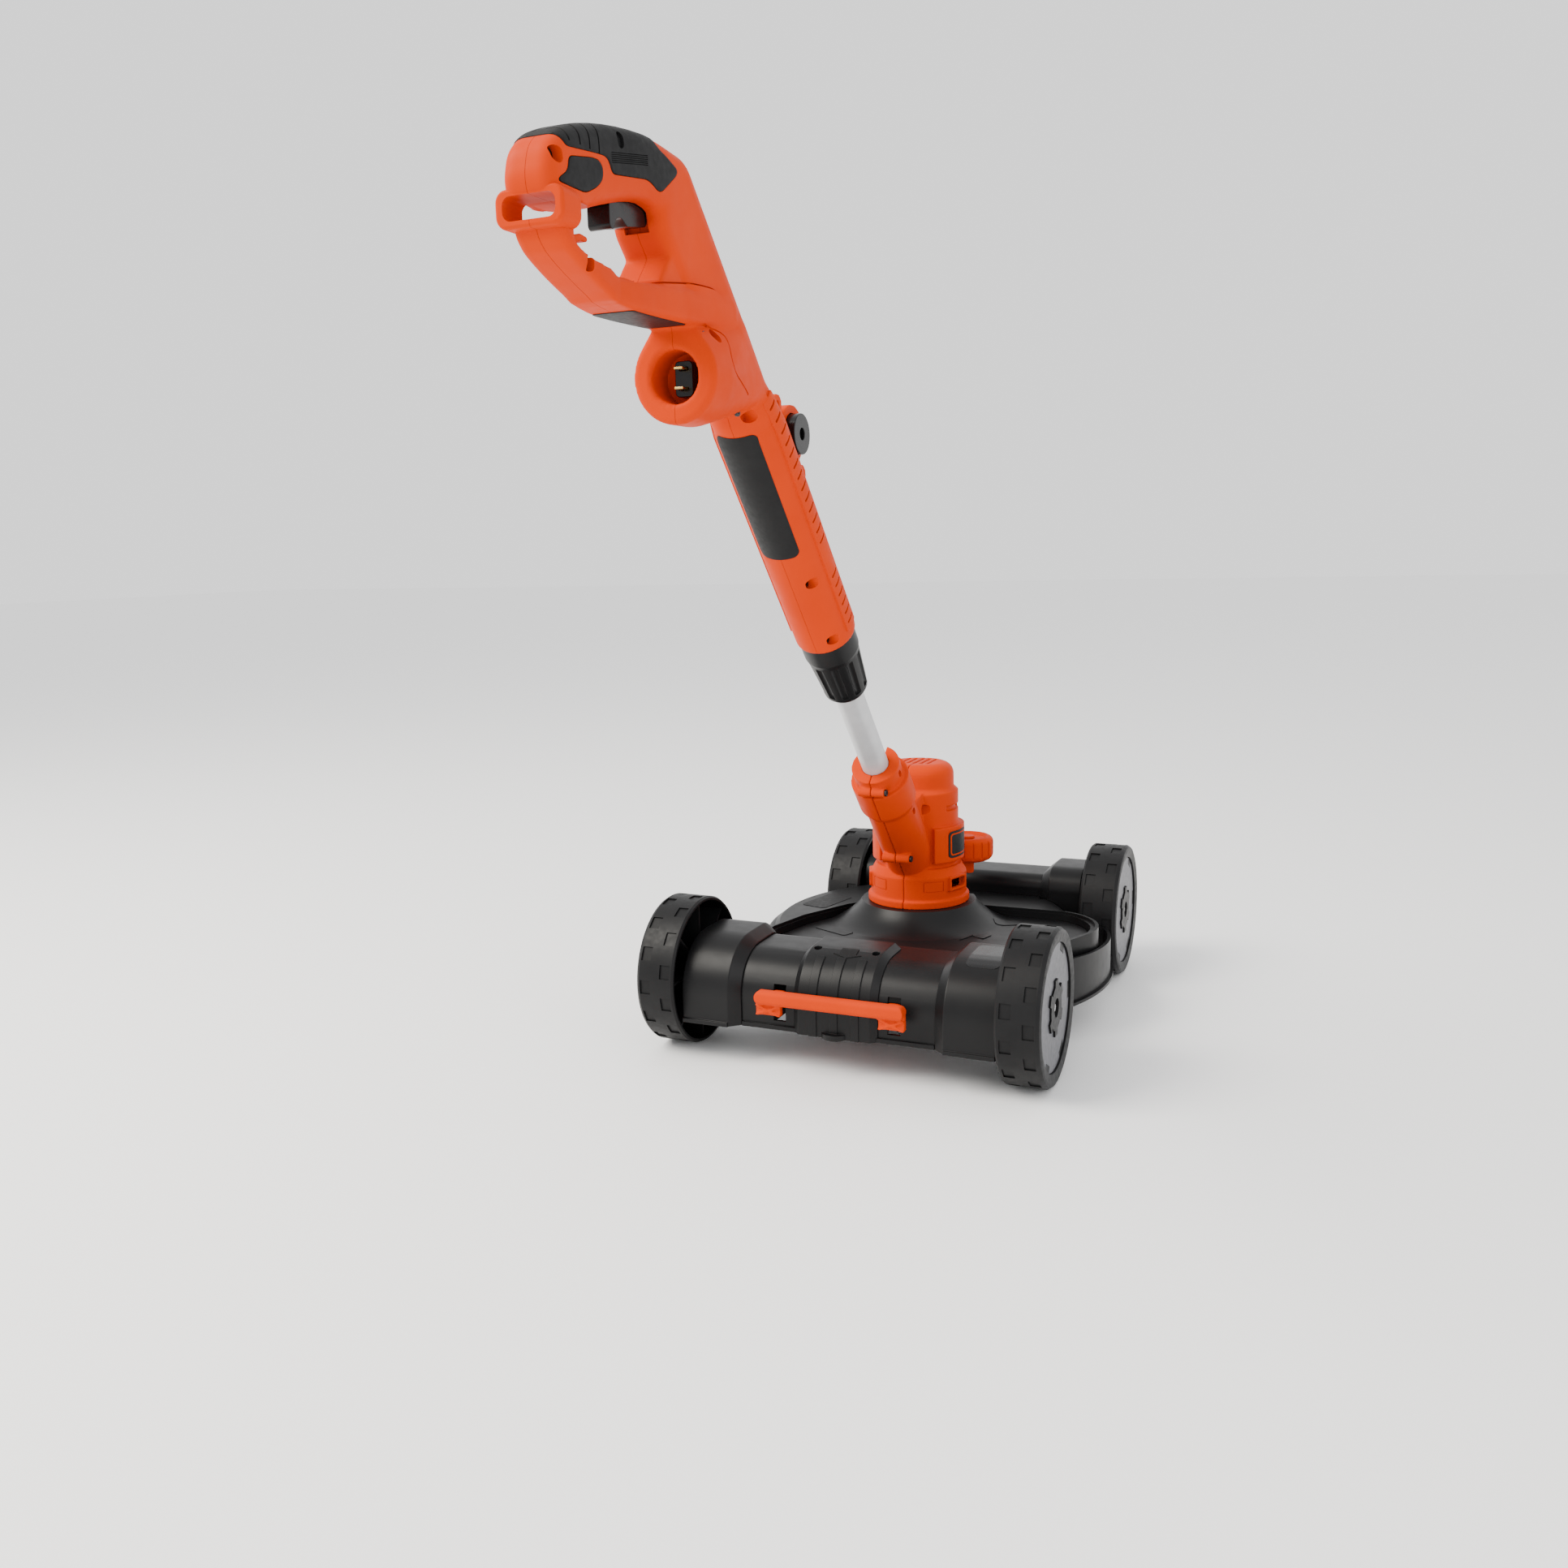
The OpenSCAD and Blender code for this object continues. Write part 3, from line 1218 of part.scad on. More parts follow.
// Moulded block on the floor of the inlet
module inlet_insert() color(black) in_handle() at_inlet() translate([0, 0, inlet_depth]) mirror([0, 0, 1])
    linear_extrude(insert_h) difference() {
        polygon(rounded(13, 23, 3));
        for (side = [-1, 1]) translate([0, side * blade_pitch / 2])
            square([blade_w + seat, blade_t + seat], center = true);
    }

module inlet_blades() color("goldenrod") in_handle() at_inlet() for (side = [-1, 1])
    translate([-blade_w / 2, side * blade_pitch / 2 - blade_t / 2, inlet_depth - blade_len])
        cube([blade_w, blade_t, blade_len - seat]);

module switch_box() color(black) in_handle() in_grip() translate([-switch_half, -18, -2])
    cube([2 * switch_half, 30, switch_h]);

// Trigger with a deep rear block, a finger scallop and a hooked front
module trigger() color(black) in_handle() in_grip() difference() {
    union() {
        along_x(-trigger_half, trigger_half)
            polygon(concat([[-30, trigger_roof]], arc([-27, -33], 3, 180, 300, 4),
            arc([-17.5, -35], 7, 145, 50, 5), arc([-9, -29], 2.5, 235, 280, 2),
                arc([10.5, -23.5], 4.5, 290, 380, 4),
            [[trigger_pivot[0] + 5, trigger_roof]]));
        translate([-trigger_half, trigger_pivot[0], trigger_pivot[1]]) rotate([0, 90, 0])
            cylinder(r = trigger_hub_r - 1, h = 2 * trigger_half);
    }
    translate([-far, trigger_pivot[0], trigger_pivot[1]]) rotate([0, 90, 0])
        cylinder(r = trigger_pin_r + fit, h = 2 * far);
}

module trigger_pin() color(steel) in_handle() in_grip()
    translate([-trigger_half - pin_past, trigger_pivot[0], trigger_pivot[1]]) rotate([0, 90, 0])
        cylinder(r = trigger_pin_r, h = 2 * (trigger_half + pin_past));

module trigger_spring() color(steel) in_handle() in_grip()
    translate([0, trigger_spring_y, trigger_roof + seat / 3])
    coil(3.5, spring_roof - trigger_roof - 2 * seat / 3, 5, 0.6);

// Bracket for an auxiliary handle: cross boss, flange with two screw eyes and recess for the button
module aux_bracket() color(orange) in_handle() difference() {
    union() {
        translate([-aux_half, aux_at[0], aux_at[1]]) rotate([0, 90, 0])
            cylinder(r = aux_r, h = 2 * aux_half);
        translate([-aux_half + 3, 8, aux_at[1] - aux_flange])
            cube([2 * aux_half - 6, 20, 2 * aux_flange]);
        for (s = [-1, 1]) translate([-aux_half, eye_across, aux_at[1] + s * eye_along]) rotate([0, 90, 0])
            cylinder(r = eye_r + 5, h = 2 * aux_half);
    }
    translate([0, 0, -far]) cylinder(r = column_r + vent_strip_out + seat, h = 2 * far);
    translate([aux_half - button_travel - button_seat, aux_at[0], aux_at[1]]) rotate([0, 90, 0])
        cylinder(r = button_r + seat, h = far);
    translate([stem_floor, aux_at[0], aux_at[1]]) rotate([0, 90, 0])
        cylinder(r = button_stem_r + fit, h = far);
    for (s = [-1, 1]) translate([-far, eye_across, aux_at[1] + s * eye_along]) rotate([0, 90, 0])
        cylinder(r = eye_r, h = 2 * far);
}

// Push button on the bracket's right side
module aux_button() color(black) in_handle()
    translate([aux_half - button_seat + seat, aux_at[0], aux_at[1]])
    rotate([0, 90, 0]) difference() {
        union() {
            cylinder(r = button_r, h = button_out + button_seat - seat);
            translate([0, 0, -stem_len]) cylinder(r = button_stem_r, h = stem_len + eps);
        }
        translate([0, 0, button_out / 2]) cylinder(r = button_r * 0.3, h = far);
    }

module aux_spring() color(steel) in_handle() translate([stem_floor + seat, aux_at[0], aux_at[1]])
    rotate([0, 90, 0])
    coil(button_stem_r - 2, aux_half - button_seat - stem_len - stem_floor - seat, 4, 0.7);

rear_beam();
front_beam();
end_cap_rear_left();
end_cap_rear_right();
end_cap_front_left();
end_cap_front_right();
deck_shroud();
deck_pad();
latch_housing();
axle_pins();
axle_clips();
pedal_pin();
pedal_spring();
deck_screws();
foot_pedal();
latch_hook();
wheel_rear_left();
wheel_rear_right();
wheel_front_left();
wheel_front_right();
hub_disc_rear_left();
hub_disc_rear_right();
hub_disc_front_left();
hub_disc_front_right();
head_shell_left();
head_shell_right();
guard();
guard_screws();
line_cutter();
motor_can();
motor_bearings();
head_screws();
lower_tube();
badge_plate();
edging_pin();
motor_shaft();
spool_housing();
spool();
line_winding();
spool_cap();
edging_wheel();
collet_sleeve();
collet_nut();
handle_shell_left();
handle_shell_right();
soft_grip();
finger_pad();
label_panel();
inlet_insert();
inlet_blades();
switch_box();
trigger();
trigger_pin();
trigger_spring();
aux_bracket();
aux_button();
aux_spring();
handle_screws();
handle_spigot();
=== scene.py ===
import math

import bmesh
import bpy
from mathutils import Matrix, Vector
from mathutils.bvhtree import BVHTree


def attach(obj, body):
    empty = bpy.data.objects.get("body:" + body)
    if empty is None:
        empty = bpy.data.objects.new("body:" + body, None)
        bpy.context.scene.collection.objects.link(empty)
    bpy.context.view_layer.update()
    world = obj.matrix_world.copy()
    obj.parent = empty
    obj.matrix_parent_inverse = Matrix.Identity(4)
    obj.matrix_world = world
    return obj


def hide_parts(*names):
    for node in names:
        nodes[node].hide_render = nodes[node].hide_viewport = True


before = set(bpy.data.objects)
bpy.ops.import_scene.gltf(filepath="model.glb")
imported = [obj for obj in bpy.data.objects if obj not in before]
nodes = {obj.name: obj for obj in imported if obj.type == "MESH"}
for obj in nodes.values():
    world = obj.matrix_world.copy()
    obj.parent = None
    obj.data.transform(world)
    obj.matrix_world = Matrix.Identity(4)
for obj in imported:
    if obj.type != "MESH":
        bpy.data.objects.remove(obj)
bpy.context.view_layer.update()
MM = 0.001

# Camera, from the vanishing points of the photographed wheels and shaft
CAMERA_AT = (0.43187, -1.09782, 0.46792)
CAMERA_RIGHT = (0.91672, 0.39881, -0.02394)
CAMERA_UP = (-0.04659, 0.16622, 0.98498)
CAMERA_BACK = (0.39680, -0.90185, 0.17096)
SENSOR_MM = 36.0
FOCAL_PX = 1688.51
PHOTO_PX = 1932
FOCAL_SHARE = FOCAL_PX / PHOTO_PX

# Shaft, handle and grip frames, in millimetres before scaling
HEAD_Y = 225
SHAFT_Z = 122
SHAFT_LEAN = math.radians(42)
HANDLE_S = 368
GRIP_AT = (0, -37, 428)
INLET_AT = (0, -68, 307)
SHAFT = (Matrix.Scale(MM, 4) @ Matrix.Translation((0, HEAD_Y, SHAFT_Z))
         @ Matrix.Rotation(SHAFT_LEAN, 4, "X"))
HANDLE = SHAFT @ Matrix.Translation((0, 0, HANDLE_S))
GRIP = HANDLE @ Matrix.Translation(GRIP_AT) @ Matrix.Rotation(-SHAFT_LEAN, 4, "X")
INLET = (HANDLE @ Matrix.Translation(INLET_AT) @ Matrix.Rotation(-SHAFT_LEAN, 4, "X")
         @ Matrix.Rotation(-math.pi / 2, 4, "X"))
HEAD = Matrix.Scale(MM, 4) @ Matrix.Translation((0, HEAD_Y, 0))
PART = Matrix.Scale(MM, 4)


# Materials

NOISE_SPAN = (0.3, 0.7)
TONE_DETAIL = 4
SCUFF_DETAIL = 6
SCUFF_SHARE = 6
GRAIN_DETAIL = 2
GRAIN_STRENGTH = 0.6


def material(name, dark, light, roughness, spread=0.06, metallic=0.0, patch=40, grain=0.7, depth=0.03,
             specular=0.5, tint=(1, 1, 1)):
    """Two tones mixed in patches, uneven roughness and a fine raised grain; sizes in millimetres."""
    mat = bpy.data.materials.new(name)
    mat.use_nodes = True
    tree = mat.node_tree
    shader = tree.nodes["Principled BSDF"]
    shader.inputs["Metallic"].default_value = metallic
    shader.inputs["Specular IOR Level"].default_value = specular
    shader.inputs["Specular Tint"].default_value = (*tint, 1)
    coords = tree.nodes.new("ShaderNodeTexCoord")

    def noise(size, detail):
        tex = tree.nodes.new("ShaderNodeTexNoise")
        tex.inputs["Scale"].default_value = 1 / (size * MM)
        tex.inputs["Detail"].default_value = detail
        tree.links.new(coords.outputs["Object"], tex.inputs["Vector"])
        return tex

    tone = noise(patch, TONE_DETAIL)
    ramp = tree.nodes.new("ShaderNodeValToRGB")
    ramp.color_ramp.elements[0].position = NOISE_SPAN[0]
    ramp.color_ramp.elements[0].color = (*dark, 1)
    ramp.color_ramp.elements[1].position = NOISE_SPAN[1]
    ramp.color_ramp.elements[1].color = (*light, 1)
    tree.links.new(tone.outputs["Fac"], ramp.inputs["Fac"])
    tree.links.new(ramp.outputs["Color"], shader.inputs["Base Color"])

    scuff = noise(patch / SCUFF_SHARE, SCUFF_DETAIL)
    rough = tree.nodes.new("ShaderNodeMapRange")
    rough.inputs["From Min"].default_value = NOISE_SPAN[0]
    rough.inputs["From Max"].default_value = NOISE_SPAN[1]
    rough.inputs["To Min"].default_value = roughness - spread
    rough.inputs["To Max"].default_value = roughness + spread
    tree.links.new(scuff.outputs["Fac"], rough.inputs["Value"])
    tree.links.new(rough.outputs["Result"], shader.inputs["Roughness"])

    fine = noise(grain, GRAIN_DETAIL)
    bump = tree.nodes.new("ShaderNodeBump")
    bump.inputs["Distance"].default_value = depth * MM
    bump.inputs["Strength"].default_value = GRAIN_STRENGTH
    tree.links.new(fine.outputs["Fac"], bump.inputs["Height"])
    tree.links.new(bump.outputs["Normal"], shader.inputs["Normal"])
    return mat


ORANGE = material("orange_plastic", (0.52, 0.032, 0.0006), (0.58, 0.037, 0.0009), roughness=0.45, patch=60,
                  depth=0.02, specular=0.04, tint=(1, 0.35, 0.08))
BLACK = material("black_plastic", (0.004, 0.004, 0.0044), (0.0065, 0.0065, 0.007), roughness=0.37,
                 spread=0.025, patch=70, specular=0.17)
WHEEL = material("wheel_plastic", (0.0045, 0.0045, 0.005), (0.008, 0.008, 0.0085), roughness=0.46,
                 patch=30, depth=0.04, specular=0.16)
DISC = material("disc_plastic", (0.085, 0.085, 0.095), (0.1, 0.1, 0.112), roughness=0.42, patch=30,
                depth=0.02, specular=0.3)
RUBBER = material("soft_rubber", (0.006, 0.006, 0.0064), (0.0095, 0.0095, 0.01), roughness=0.6, patch=25,
                  grain=0.5, depth=0.06, specular=0.14)
GLOSS = material("gloss_black", (0.003, 0.003, 0.0034), (0.005, 0.005, 0.0055), roughness=0.24,
                 spread=0.05, patch=30, depth=0.008, specular=0.25)
FILM = material("label_film", (0.006, 0.006, 0.0065), (0.0085, 0.0085, 0.009), roughness=0.5, patch=20,
                depth=0.01, specular=0.15)
TUBE = material("tube_metal", (0.47, 0.47, 0.48), (0.53, 0.53, 0.54), roughness=0.36, spread=0.05,
                metallic=0.2, patch=14, depth=0.01)
STEEL = material("steel", (0.5, 0.5, 0.51), (0.62, 0.62, 0.63), roughness=0.3, spread=0.08, metallic=1.0,
                 patch=8, depth=0.01)
OXIDE = material("black_oxide", (0.012, 0.012, 0.013), (0.022, 0.022, 0.023), roughness=0.35, spread=0.08,
                 metallic=0.7, patch=3, depth=0.01)
BRASS = material("brass", (0.68, 0.43, 0.1), (0.8, 0.55, 0.17), roughness=0.25, spread=0.06, metallic=1.0,
                 patch=6, depth=0.008)
NYLON = material("line_nylon", (0.75, 0.75, 0.68), (0.85, 0.85, 0.8), roughness=0.35, patch=10, depth=0.01)


# Mesh helpers

WELD = 0.002
SMOOTH_SHARE = 0.5
SHARP_DEG = 35
FLAT_DEG = 0.5
BEVEL_DEG = 30
BEVEL_STEPS = 3


def add_object(name, bm):
    """New object from a bmesh, with its normals facing outwards."""
    bmesh.ops.recalc_face_normals(bm, faces=bm.faces)
    mesh = bpy.data.meshes.new(name)
    bm.to_mesh(mesh)
    bm.free()
    obj = bpy.data.objects.new(name, mesh)
    bpy.context.scene.collection.objects.link(obj)
    return obj


def add_hull(bm, points):
    """Adds the convex hull of points to bm as a shell of its own."""
    part = bmesh.new()
    for point in points:
        part.verts.new(point)
    made = bmesh.ops.convex_hull(part, input=part.verts)
    spare = [g for g in made["geom_interior"] + made["geom_unused"] if isinstance(g, bmesh.types.BMVert)]
    bmesh.ops.delete(part, geom=list(set(spare)), context="VERTS")
    bmesh.ops.recalc_face_normals(part, faces=part.faces)
    mesh = bpy.data.meshes.new("hull")
    part.to_mesh(mesh)
    part.free()
    bm.from_mesh(mesh)
    bpy.data.meshes.remove(mesh)


def loft(name, rings):
    """Closed solid through rings of equally many points."""
    bm = bmesh.new()
    rows = [[bm.verts.new(point) for point in ring] for ring in rings]
    count = len(rows[0])
    for a, b in zip(rows, rows[1:]):
        for i in range(count):
            bm.faces.new((a[i], a[(i + 1) % count], b[(i + 1) % count], b[i]))
    bm.faces.new(rows[0])
    bm.faces.new(rows[-1])
    bmesh.ops.triangulate(bm, faces=[f for f in bm.faces if len(f.verts) > 4])
    return add_object(name, bm)


def prism_x(name, place, outline, low, high):
    """Solid that runs along X from low to high, with an outline of (y, z) points."""
    return loft(name, [[place @ Vector((x, y, z)) for y, z in outline] for x in (low, high)])


def prism_z(name, place, outline, low, high):
    """Solid that runs along Z from low to high, with an outline of (x, y) points."""
    return loft(name, [[place @ Vector((x, y, z)) for x, y in outline] for z in (low, high)])


def box(name, place, low, high):
    """Cutting block between two corners."""
    outline = [(low[1], low[2]), (high[1], low[2]), (high[1], high[2]), (low[1], high[2])]
    return prism_x(name, place, outline, low[0], high[0])


def circle(radius, count=64, centre=(0, 0)):
    """Points round a circle."""
    turns = [2 * math.pi * i / count for i in range(count)]
    return [(centre[0] + radius * math.cos(t), centre[1] + radius * math.sin(t)) for t in turns]


def rounded(width, height, radius, steps=6):
    """Outline of a rounded rectangle about the origin."""
    points = []
    for turn, sx, sy in ((0, 1, 1), (1, -1, 1), (2, -1, -1), (3, 1, -1)):
        for i in range(steps + 1):
            t = math.pi / 2 * (turn + i / steps)
            points.append((sx * (width / 2 - radius) + radius * math.cos(t),
                           sy * (height / 2 - radius) + radius * math.sin(t)))
    return points


def bake(obj):
    """Applies the modifiers of a piece."""
    graph = bpy.context.evaluated_depsgraph_get()
    mesh = bpy.data.meshes.new_from_object(obj.evaluated_get(graph))
    obj.modifiers.clear()
    obj.data = mesh
    return obj


def combine(obj, others, operation="DIFFERENCE"):
    """Cuts others from obj, or joins or intersects them, and deletes them."""
    for other in others:
        mod = obj.modifiers.new("combine", "BOOLEAN")
        mod.solver = "MANIFOLD"
        mod.operation = operation
        mod.object = other
        bake(obj)
        bpy.data.objects.remove(other)
    return obj


def joined(name, parts):
    """One object from parts that are clear of each other."""
    bm = bmesh.new()
    for part in parts:
        bm.from_mesh(part.data)
        bpy.data.objects.remove(part)
    return add_object(name, bm)


def soften(obj, voxel, rounds):
    """Fuses overlapping shells on an even grid and rounds their edges."""
    grid = obj.modifiers.new("grid", "REMESH")
    grid.mode = "VOXEL"
    grid.voxel_size = voxel * MM
    smooth = obj.modifiers.new("smooth", "SMOOTH")
    smooth.factor = SMOOTH_SHARE
    smooth.iterations = rounds
    return bake(obj)


def copy_of(obj, name, grow=None):
    """Copy of a piece with its surface moved out by grow millimetres, or by what grow says of a point."""
    mesh = obj.data.copy()
    if grow:
        normals = [v.normal.copy() for v in mesh.vertices]
        for vert, normal in zip(mesh.vertices, normals):
            vert.co += normal * (grow(vert.co) if callable(grow) else grow) * MM
    new = bpy.data.objects.new(name, mesh)
    bpy.context.scene.collection.objects.link(new)
    return new


def finish_piece(obj, body, mat, replaced=()):
    """Gives a piece its material and body, and smooth faces with clean creases."""
    obj.data.materials.clear()
    obj.data.materials.append(mat)
    for face in obj.data.polygons:
        face.use_smooth = True
        face.material_index = 0
    normal = obj.modifiers.new("normals", "WEIGHTED_NORMAL")
    normal.keep_sharp = True
    obj.data.set_sharp_from_angle(angle=math.radians(SHARP_DEG))
    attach(obj, body)
    if replaced:
        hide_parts(*replaced)
    return obj


def moulded(node, voxel, rounds, mat, body, cutters=()):
    """Replaces a CAD node by a copy of it with rounded moulded edges and a few cuts."""
    bm = bmesh.new()
    bm.from_mesh(nodes[node].data)
    bmesh.ops.remove_doubles(bm, verts=bm.verts, dist=WELD * MM)
    obj = add_object("moulded_" + node, bm)
    soften(obj, voxel, rounds)
    combine(obj, cutters)
    return finish_piece(obj, body, mat, [node])


def dress(names, mat, edge):
    """Gives CAD nodes a material and rounds their edges by edge millimetres."""
    for name in names:
        obj = nodes[name]
        obj.data.materials.clear()
        obj.data.materials.append(mat)
        for face in obj.data.polygons:
            face.use_smooth = True
            face.material_index = 0
        weld = obj.modifiers.new("weld", "WELD")
        weld.merge_threshold = WELD * MM
        flat = obj.modifiers.new("flat", "DECIMATE")
        flat.decimate_type = "DISSOLVE"
        flat.angle_limit = math.radians(FLAT_DEG)
        if edge:
            bevel = obj.modifiers.new("bevel", "BEVEL")
            bevel.width = edge * MM
            bevel.segments = BEVEL_STEPS
            bevel.limit_method = "ANGLE"
            bevel.angle_limit = math.radians(BEVEL_DEG)
            bevel.use_clamp_overlap = True
            bevel.miter_outer = "MITER_ARC"
        normal = obj.modifiers.new("normals", "WEIGHTED_NORMAL")
        normal.keep_sharp = False


# Handle: smooth body from discs across the seam plane

EDGE_SHARE = 0.42
CROWN_SHARE = 0.8
DISC_RING = 40
DISC_ARC = 4
CURVE_STEPS = 4
# Each station has its place in the seam plane, its radius and its half width
GRIP_STATIONS = [((41, -3), 24, 19.5), ((0, 2.7), 19.3, 19), ((-50, -6.2), 21.2, 18),
                 ((-82, -19), 21.5, 17.5), ((-82, -36), 16.5, 16.5)]
ARM_STATIONS = [GRIP_STATIONS[-1], ((-82, -50), 10.5, 16.5), ((-47, -67.5), 7.7, 16.5),
                ((-20, -72), 8, 17), ((104, -66), 11, 21.5)]
POST_LOW = ((-24, 358), 21, 19)
POST_HIGH = ((-25, 390), 21, 19)
CROWN = ((0, 376), 20.5, 19.5)
HOOK = [((-80, -54), 3, 6), ((-68, -49), 2.2, 6), ((-60, -46.4), 2, 6), ((-54.5, -46.6), 1.5, 6)]
COLUMN_R = 26
COLUMN_TOP = 216
UPPER_R = 22
UPPER_FROM = 242
UPPER_REACH = 50
OVERLAP = 1
INLET_UP = 20
INLET_R = 29
INLET_NECK_R = 17.5
INLET_DEPTH = 24
INLET_BORE_R = 18.5
INLET_BORE_FROM = -2
# Frame that holds a plug's cord: middle, reach along the grip, and width, height and corner
CORD_Z = -38
CORD_FROM = -103
CORD_TO = -83.5
CORD_FRAME = (44, 21, 7)
CORD_SLOT = (34, 13, 5)
CORD_SLOT_RUN = (-118, -47)
# Rounded edges of the frame: distance from its end and inset
CORD_REAR_EDGE = [(0, 1.8), (0.4, 0.9), (1, 0.3), (2, 0)]
CORD_FRONT_EDGE = [(2, 0), (0.8, 0.5), (0.2, 1.2), (0, 2)]
NOTCH = [(-83.5, -52.5), (-83.5, -30.5), (-76, -32), (-66, -33), (-58, -36), (-46, -40), (-28, -50),
         (-28, -64.4), (-42, -61.9), (-63, -59.6), (-73, -57.5), (-79, -55.5)]
WEDGE = [(30, -40), (13, -59), (20, -66), (48, -66), (48, -40)]
WEDGE_HALF = 16.5
# Reach of cutters across the seam
FAR = 60
BODY_VOXEL = 1.3
NOTCHED_VOXEL = 1.1
SKIN_VOXEL = 0.7
HOOK_VOXEL = 0.5
BODY_ROUNDS = 3
HOOK_ROUNDS = 2


def curve(stations):
    """Stations with more of them in between, on a smooth curve through all."""
    flat = [(y, z, r, w) for (y, z), r, w in stations]
    ends = [flat[0]] + flat + [flat[-1]]
    result = []
    for a, b, c, d in zip(ends, ends[1:], ends[2:], ends[3:]):
        for i in range(CURVE_STEPS):
            t = i / CURVE_STEPS
            blend = [q + 0.5 * t * (r - p + t * (2 * p - 5 * q + 4 * r - s + t * (3 * q - 3 * r + s - p)))
                     for p, q, r, s in zip(a, b, c, d)]
            result.append(blend)
    result.append(flat[-1])
    return [((y, z), r, w) for y, z, r, w in result]


def disc(place, station, share=EDGE_SHARE):
    """Points of a disc across X, whose edges are rounded by a share of its radius."""
    (y, z), r, w = station
    edge = share * r
    points = []
    for i in range(DISC_ARC + 1):
        t = math.pi / 2 * i / DISC_ARC
        ring = r - edge * (1 - math.cos(t))
        half = w - edge * (1 - math.sin(t))
        for v, u in circle(ring, DISC_RING, (y, z)):
            points += [place @ Vector((half, v, u)), place @ Vector((-half, v, u))]
    return points


def ring_z(place, radius, z):
    """Points of a circle about Z."""
    return [place @ Vector((x, y, z)) for x, y in circle(radius, DISC_RING)]


def handle_body():
    """Outer form of the handle as one smooth solid."""
    bm = bmesh.new()
    for stations in (curve(GRIP_STATIONS), curve(ARM_STATIONS)):
        for a, b in zip(stations, stations[1:]):
            add_hull(bm, disc(GRIP, a) + disc(GRIP, b))
    add_hull(bm, ring_z(HANDLE, UPPER_R, UPPER_FROM) + disc(HANDLE, POST_LOW)
             + disc(HANDLE, CROWN, CROWN_SHARE))
    add_hull(bm, disc(HANDLE, POST_LOW) + disc(HANDLE, POST_HIGH) + disc(HANDLE, CROWN, CROWN_SHARE)
             + disc(GRIP, GRIP_STATIONS[0]))
    lifted = INLET @ Matrix.Translation((0, -INLET_UP, 0))
    add_hull(bm, ring_z(INLET, INLET_R, 0) + ring_z(INLET, INLET_R, INLET_DEPTH)
             + ring_z(lifted, INLET_NECK_R, 0) + ring_z(lifted, INLET_NECK_R, INLET_DEPTH)
             + ring_z(HANDLE, UPPER_R, UPPER_FROM) + ring_z(HANDLE, UPPER_R, UPPER_FROM + UPPER_REACH))
    add_hull(bm, ring_z(HANDLE, COLUMN_R, 0) + ring_z(HANDLE, COLUMN_R, COLUMN_TOP))
    add_hull(bm, ring_z(HANDLE, COLUMN_R, COLUMN_TOP - OVERLAP)
             + ring_z(HANDLE, UPPER_R, UPPER_FROM + OVERLAP))
    add_hull(bm, [GRIP @ Vector((x, y, z)) for y, z in WEDGE for x in (-WEDGE_HALF, WEDGE_HALF)])
    body = add_object("handle_body", bm)
    soften(body, BODY_VOXEL, BODY_ROUNDS)
    notch = prism_x("notch", GRIP, NOTCH, -FAR, FAR)
    bore = prism_z("bore", INLET, circle(INLET_BORE_R), INLET_BORE_FROM, INLET_DEPTH)
    combine(body, [cord_slot(), notch, bore])
    soften(body, NOTCHED_VOXEL, BODY_ROUNDS)
    hook = bmesh.new()
    for a, b in zip(HOOK, HOOK[1:]):
        add_hull(hook, disc(GRIP, a) + disc(GRIP, b))
    combine(body, [cord_frame(), soften(add_object("hook", hook), HOOK_VOXEL, HOOK_ROUNDS)], "UNION")
    return combine(body, [cord_slot()])


def cord_slot():
    """Cutter for the slot of the cord's frame."""
    outline = rounded(*CORD_SLOT)
    return loft("slot", [[GRIP @ Vector((x, y, z + CORD_Z)) for x, z in outline] for y in CORD_SLOT_RUN])


def cord_frame():
    """Ring with rounded edges at the handle's rear."""
    rows = []
    width, height, radius = CORD_FRAME
    edges = [(CORD_FROM + run, inset) for run, inset in CORD_REAR_EDGE]
    edges += [(CORD_TO - run, inset) for run, inset in CORD_FRONT_EDGE]
    for y, inset in edges:
        outline = rounded(width - 2 * inset, height - 2 * inset, radius - inset)
        rows.append([GRIP @ Vector((x, y, z + CORD_Z)) for x, z in outline])
    return loft("cord_frame", rows)


# Outlines of the soft grip and the finger pad, in the grip's seam plane
GRIP_ZONE = [(-90, -6.8), (-62, -3.7), (-51, -2.8), (-47, -4.5), (-43.5, -11), (-4.4, -5.4), (2, -6.5),
             (8.6, -9.2), (14, -8.5), (34, 5.5), (34.5, 9), (9, 17.3), (6, 30), (6, 60), (-96, 60), (-94, 2),
             (-91.5, -3)]
PAD_ZONE = [(-88.5, -11), (-64.5, -6.5), (-57, -6.2), (-53, -9.5), (-53.5, -16), (-60, -21.5), (-72, -27),
            (-84, -27), (-98, -26.5), (-98, -24), (-90, -19)]
# Upper edge of the raised part of the housing, the rest of its outline, and a crease beside the inlet
LEDGE_LINE = [(-22, -65.5), (17, -60), (45, -56.2), (70, -54.9), (81, -55.6), (93, -60.3), (106, -68.6),
              (113.5, -77), (121.5, -86), (133.5, -96), (149, -112), (160, -125)]
LEDGE_REST = [(200, -165), (120, -240), (-60, -140), (-60, -60)]
CREASE = [(64.7, -78.3), (83.9, -81.5), (86.4, -89.2), (86.4, -99.5), (92, -108.3), (116, -118.5)]
LEDGE_RISE = 1.4
LEDGE_REAR = (-45, -12)
LEDGE_LOW = (218, 232)
LINE_HALF = 0.6
LINE_DEPTH = 1.6
CREASE_DEPTH = 0.7
SKIN = 2.0
SKIN_OUT = 0.6
SEAT = 0.3
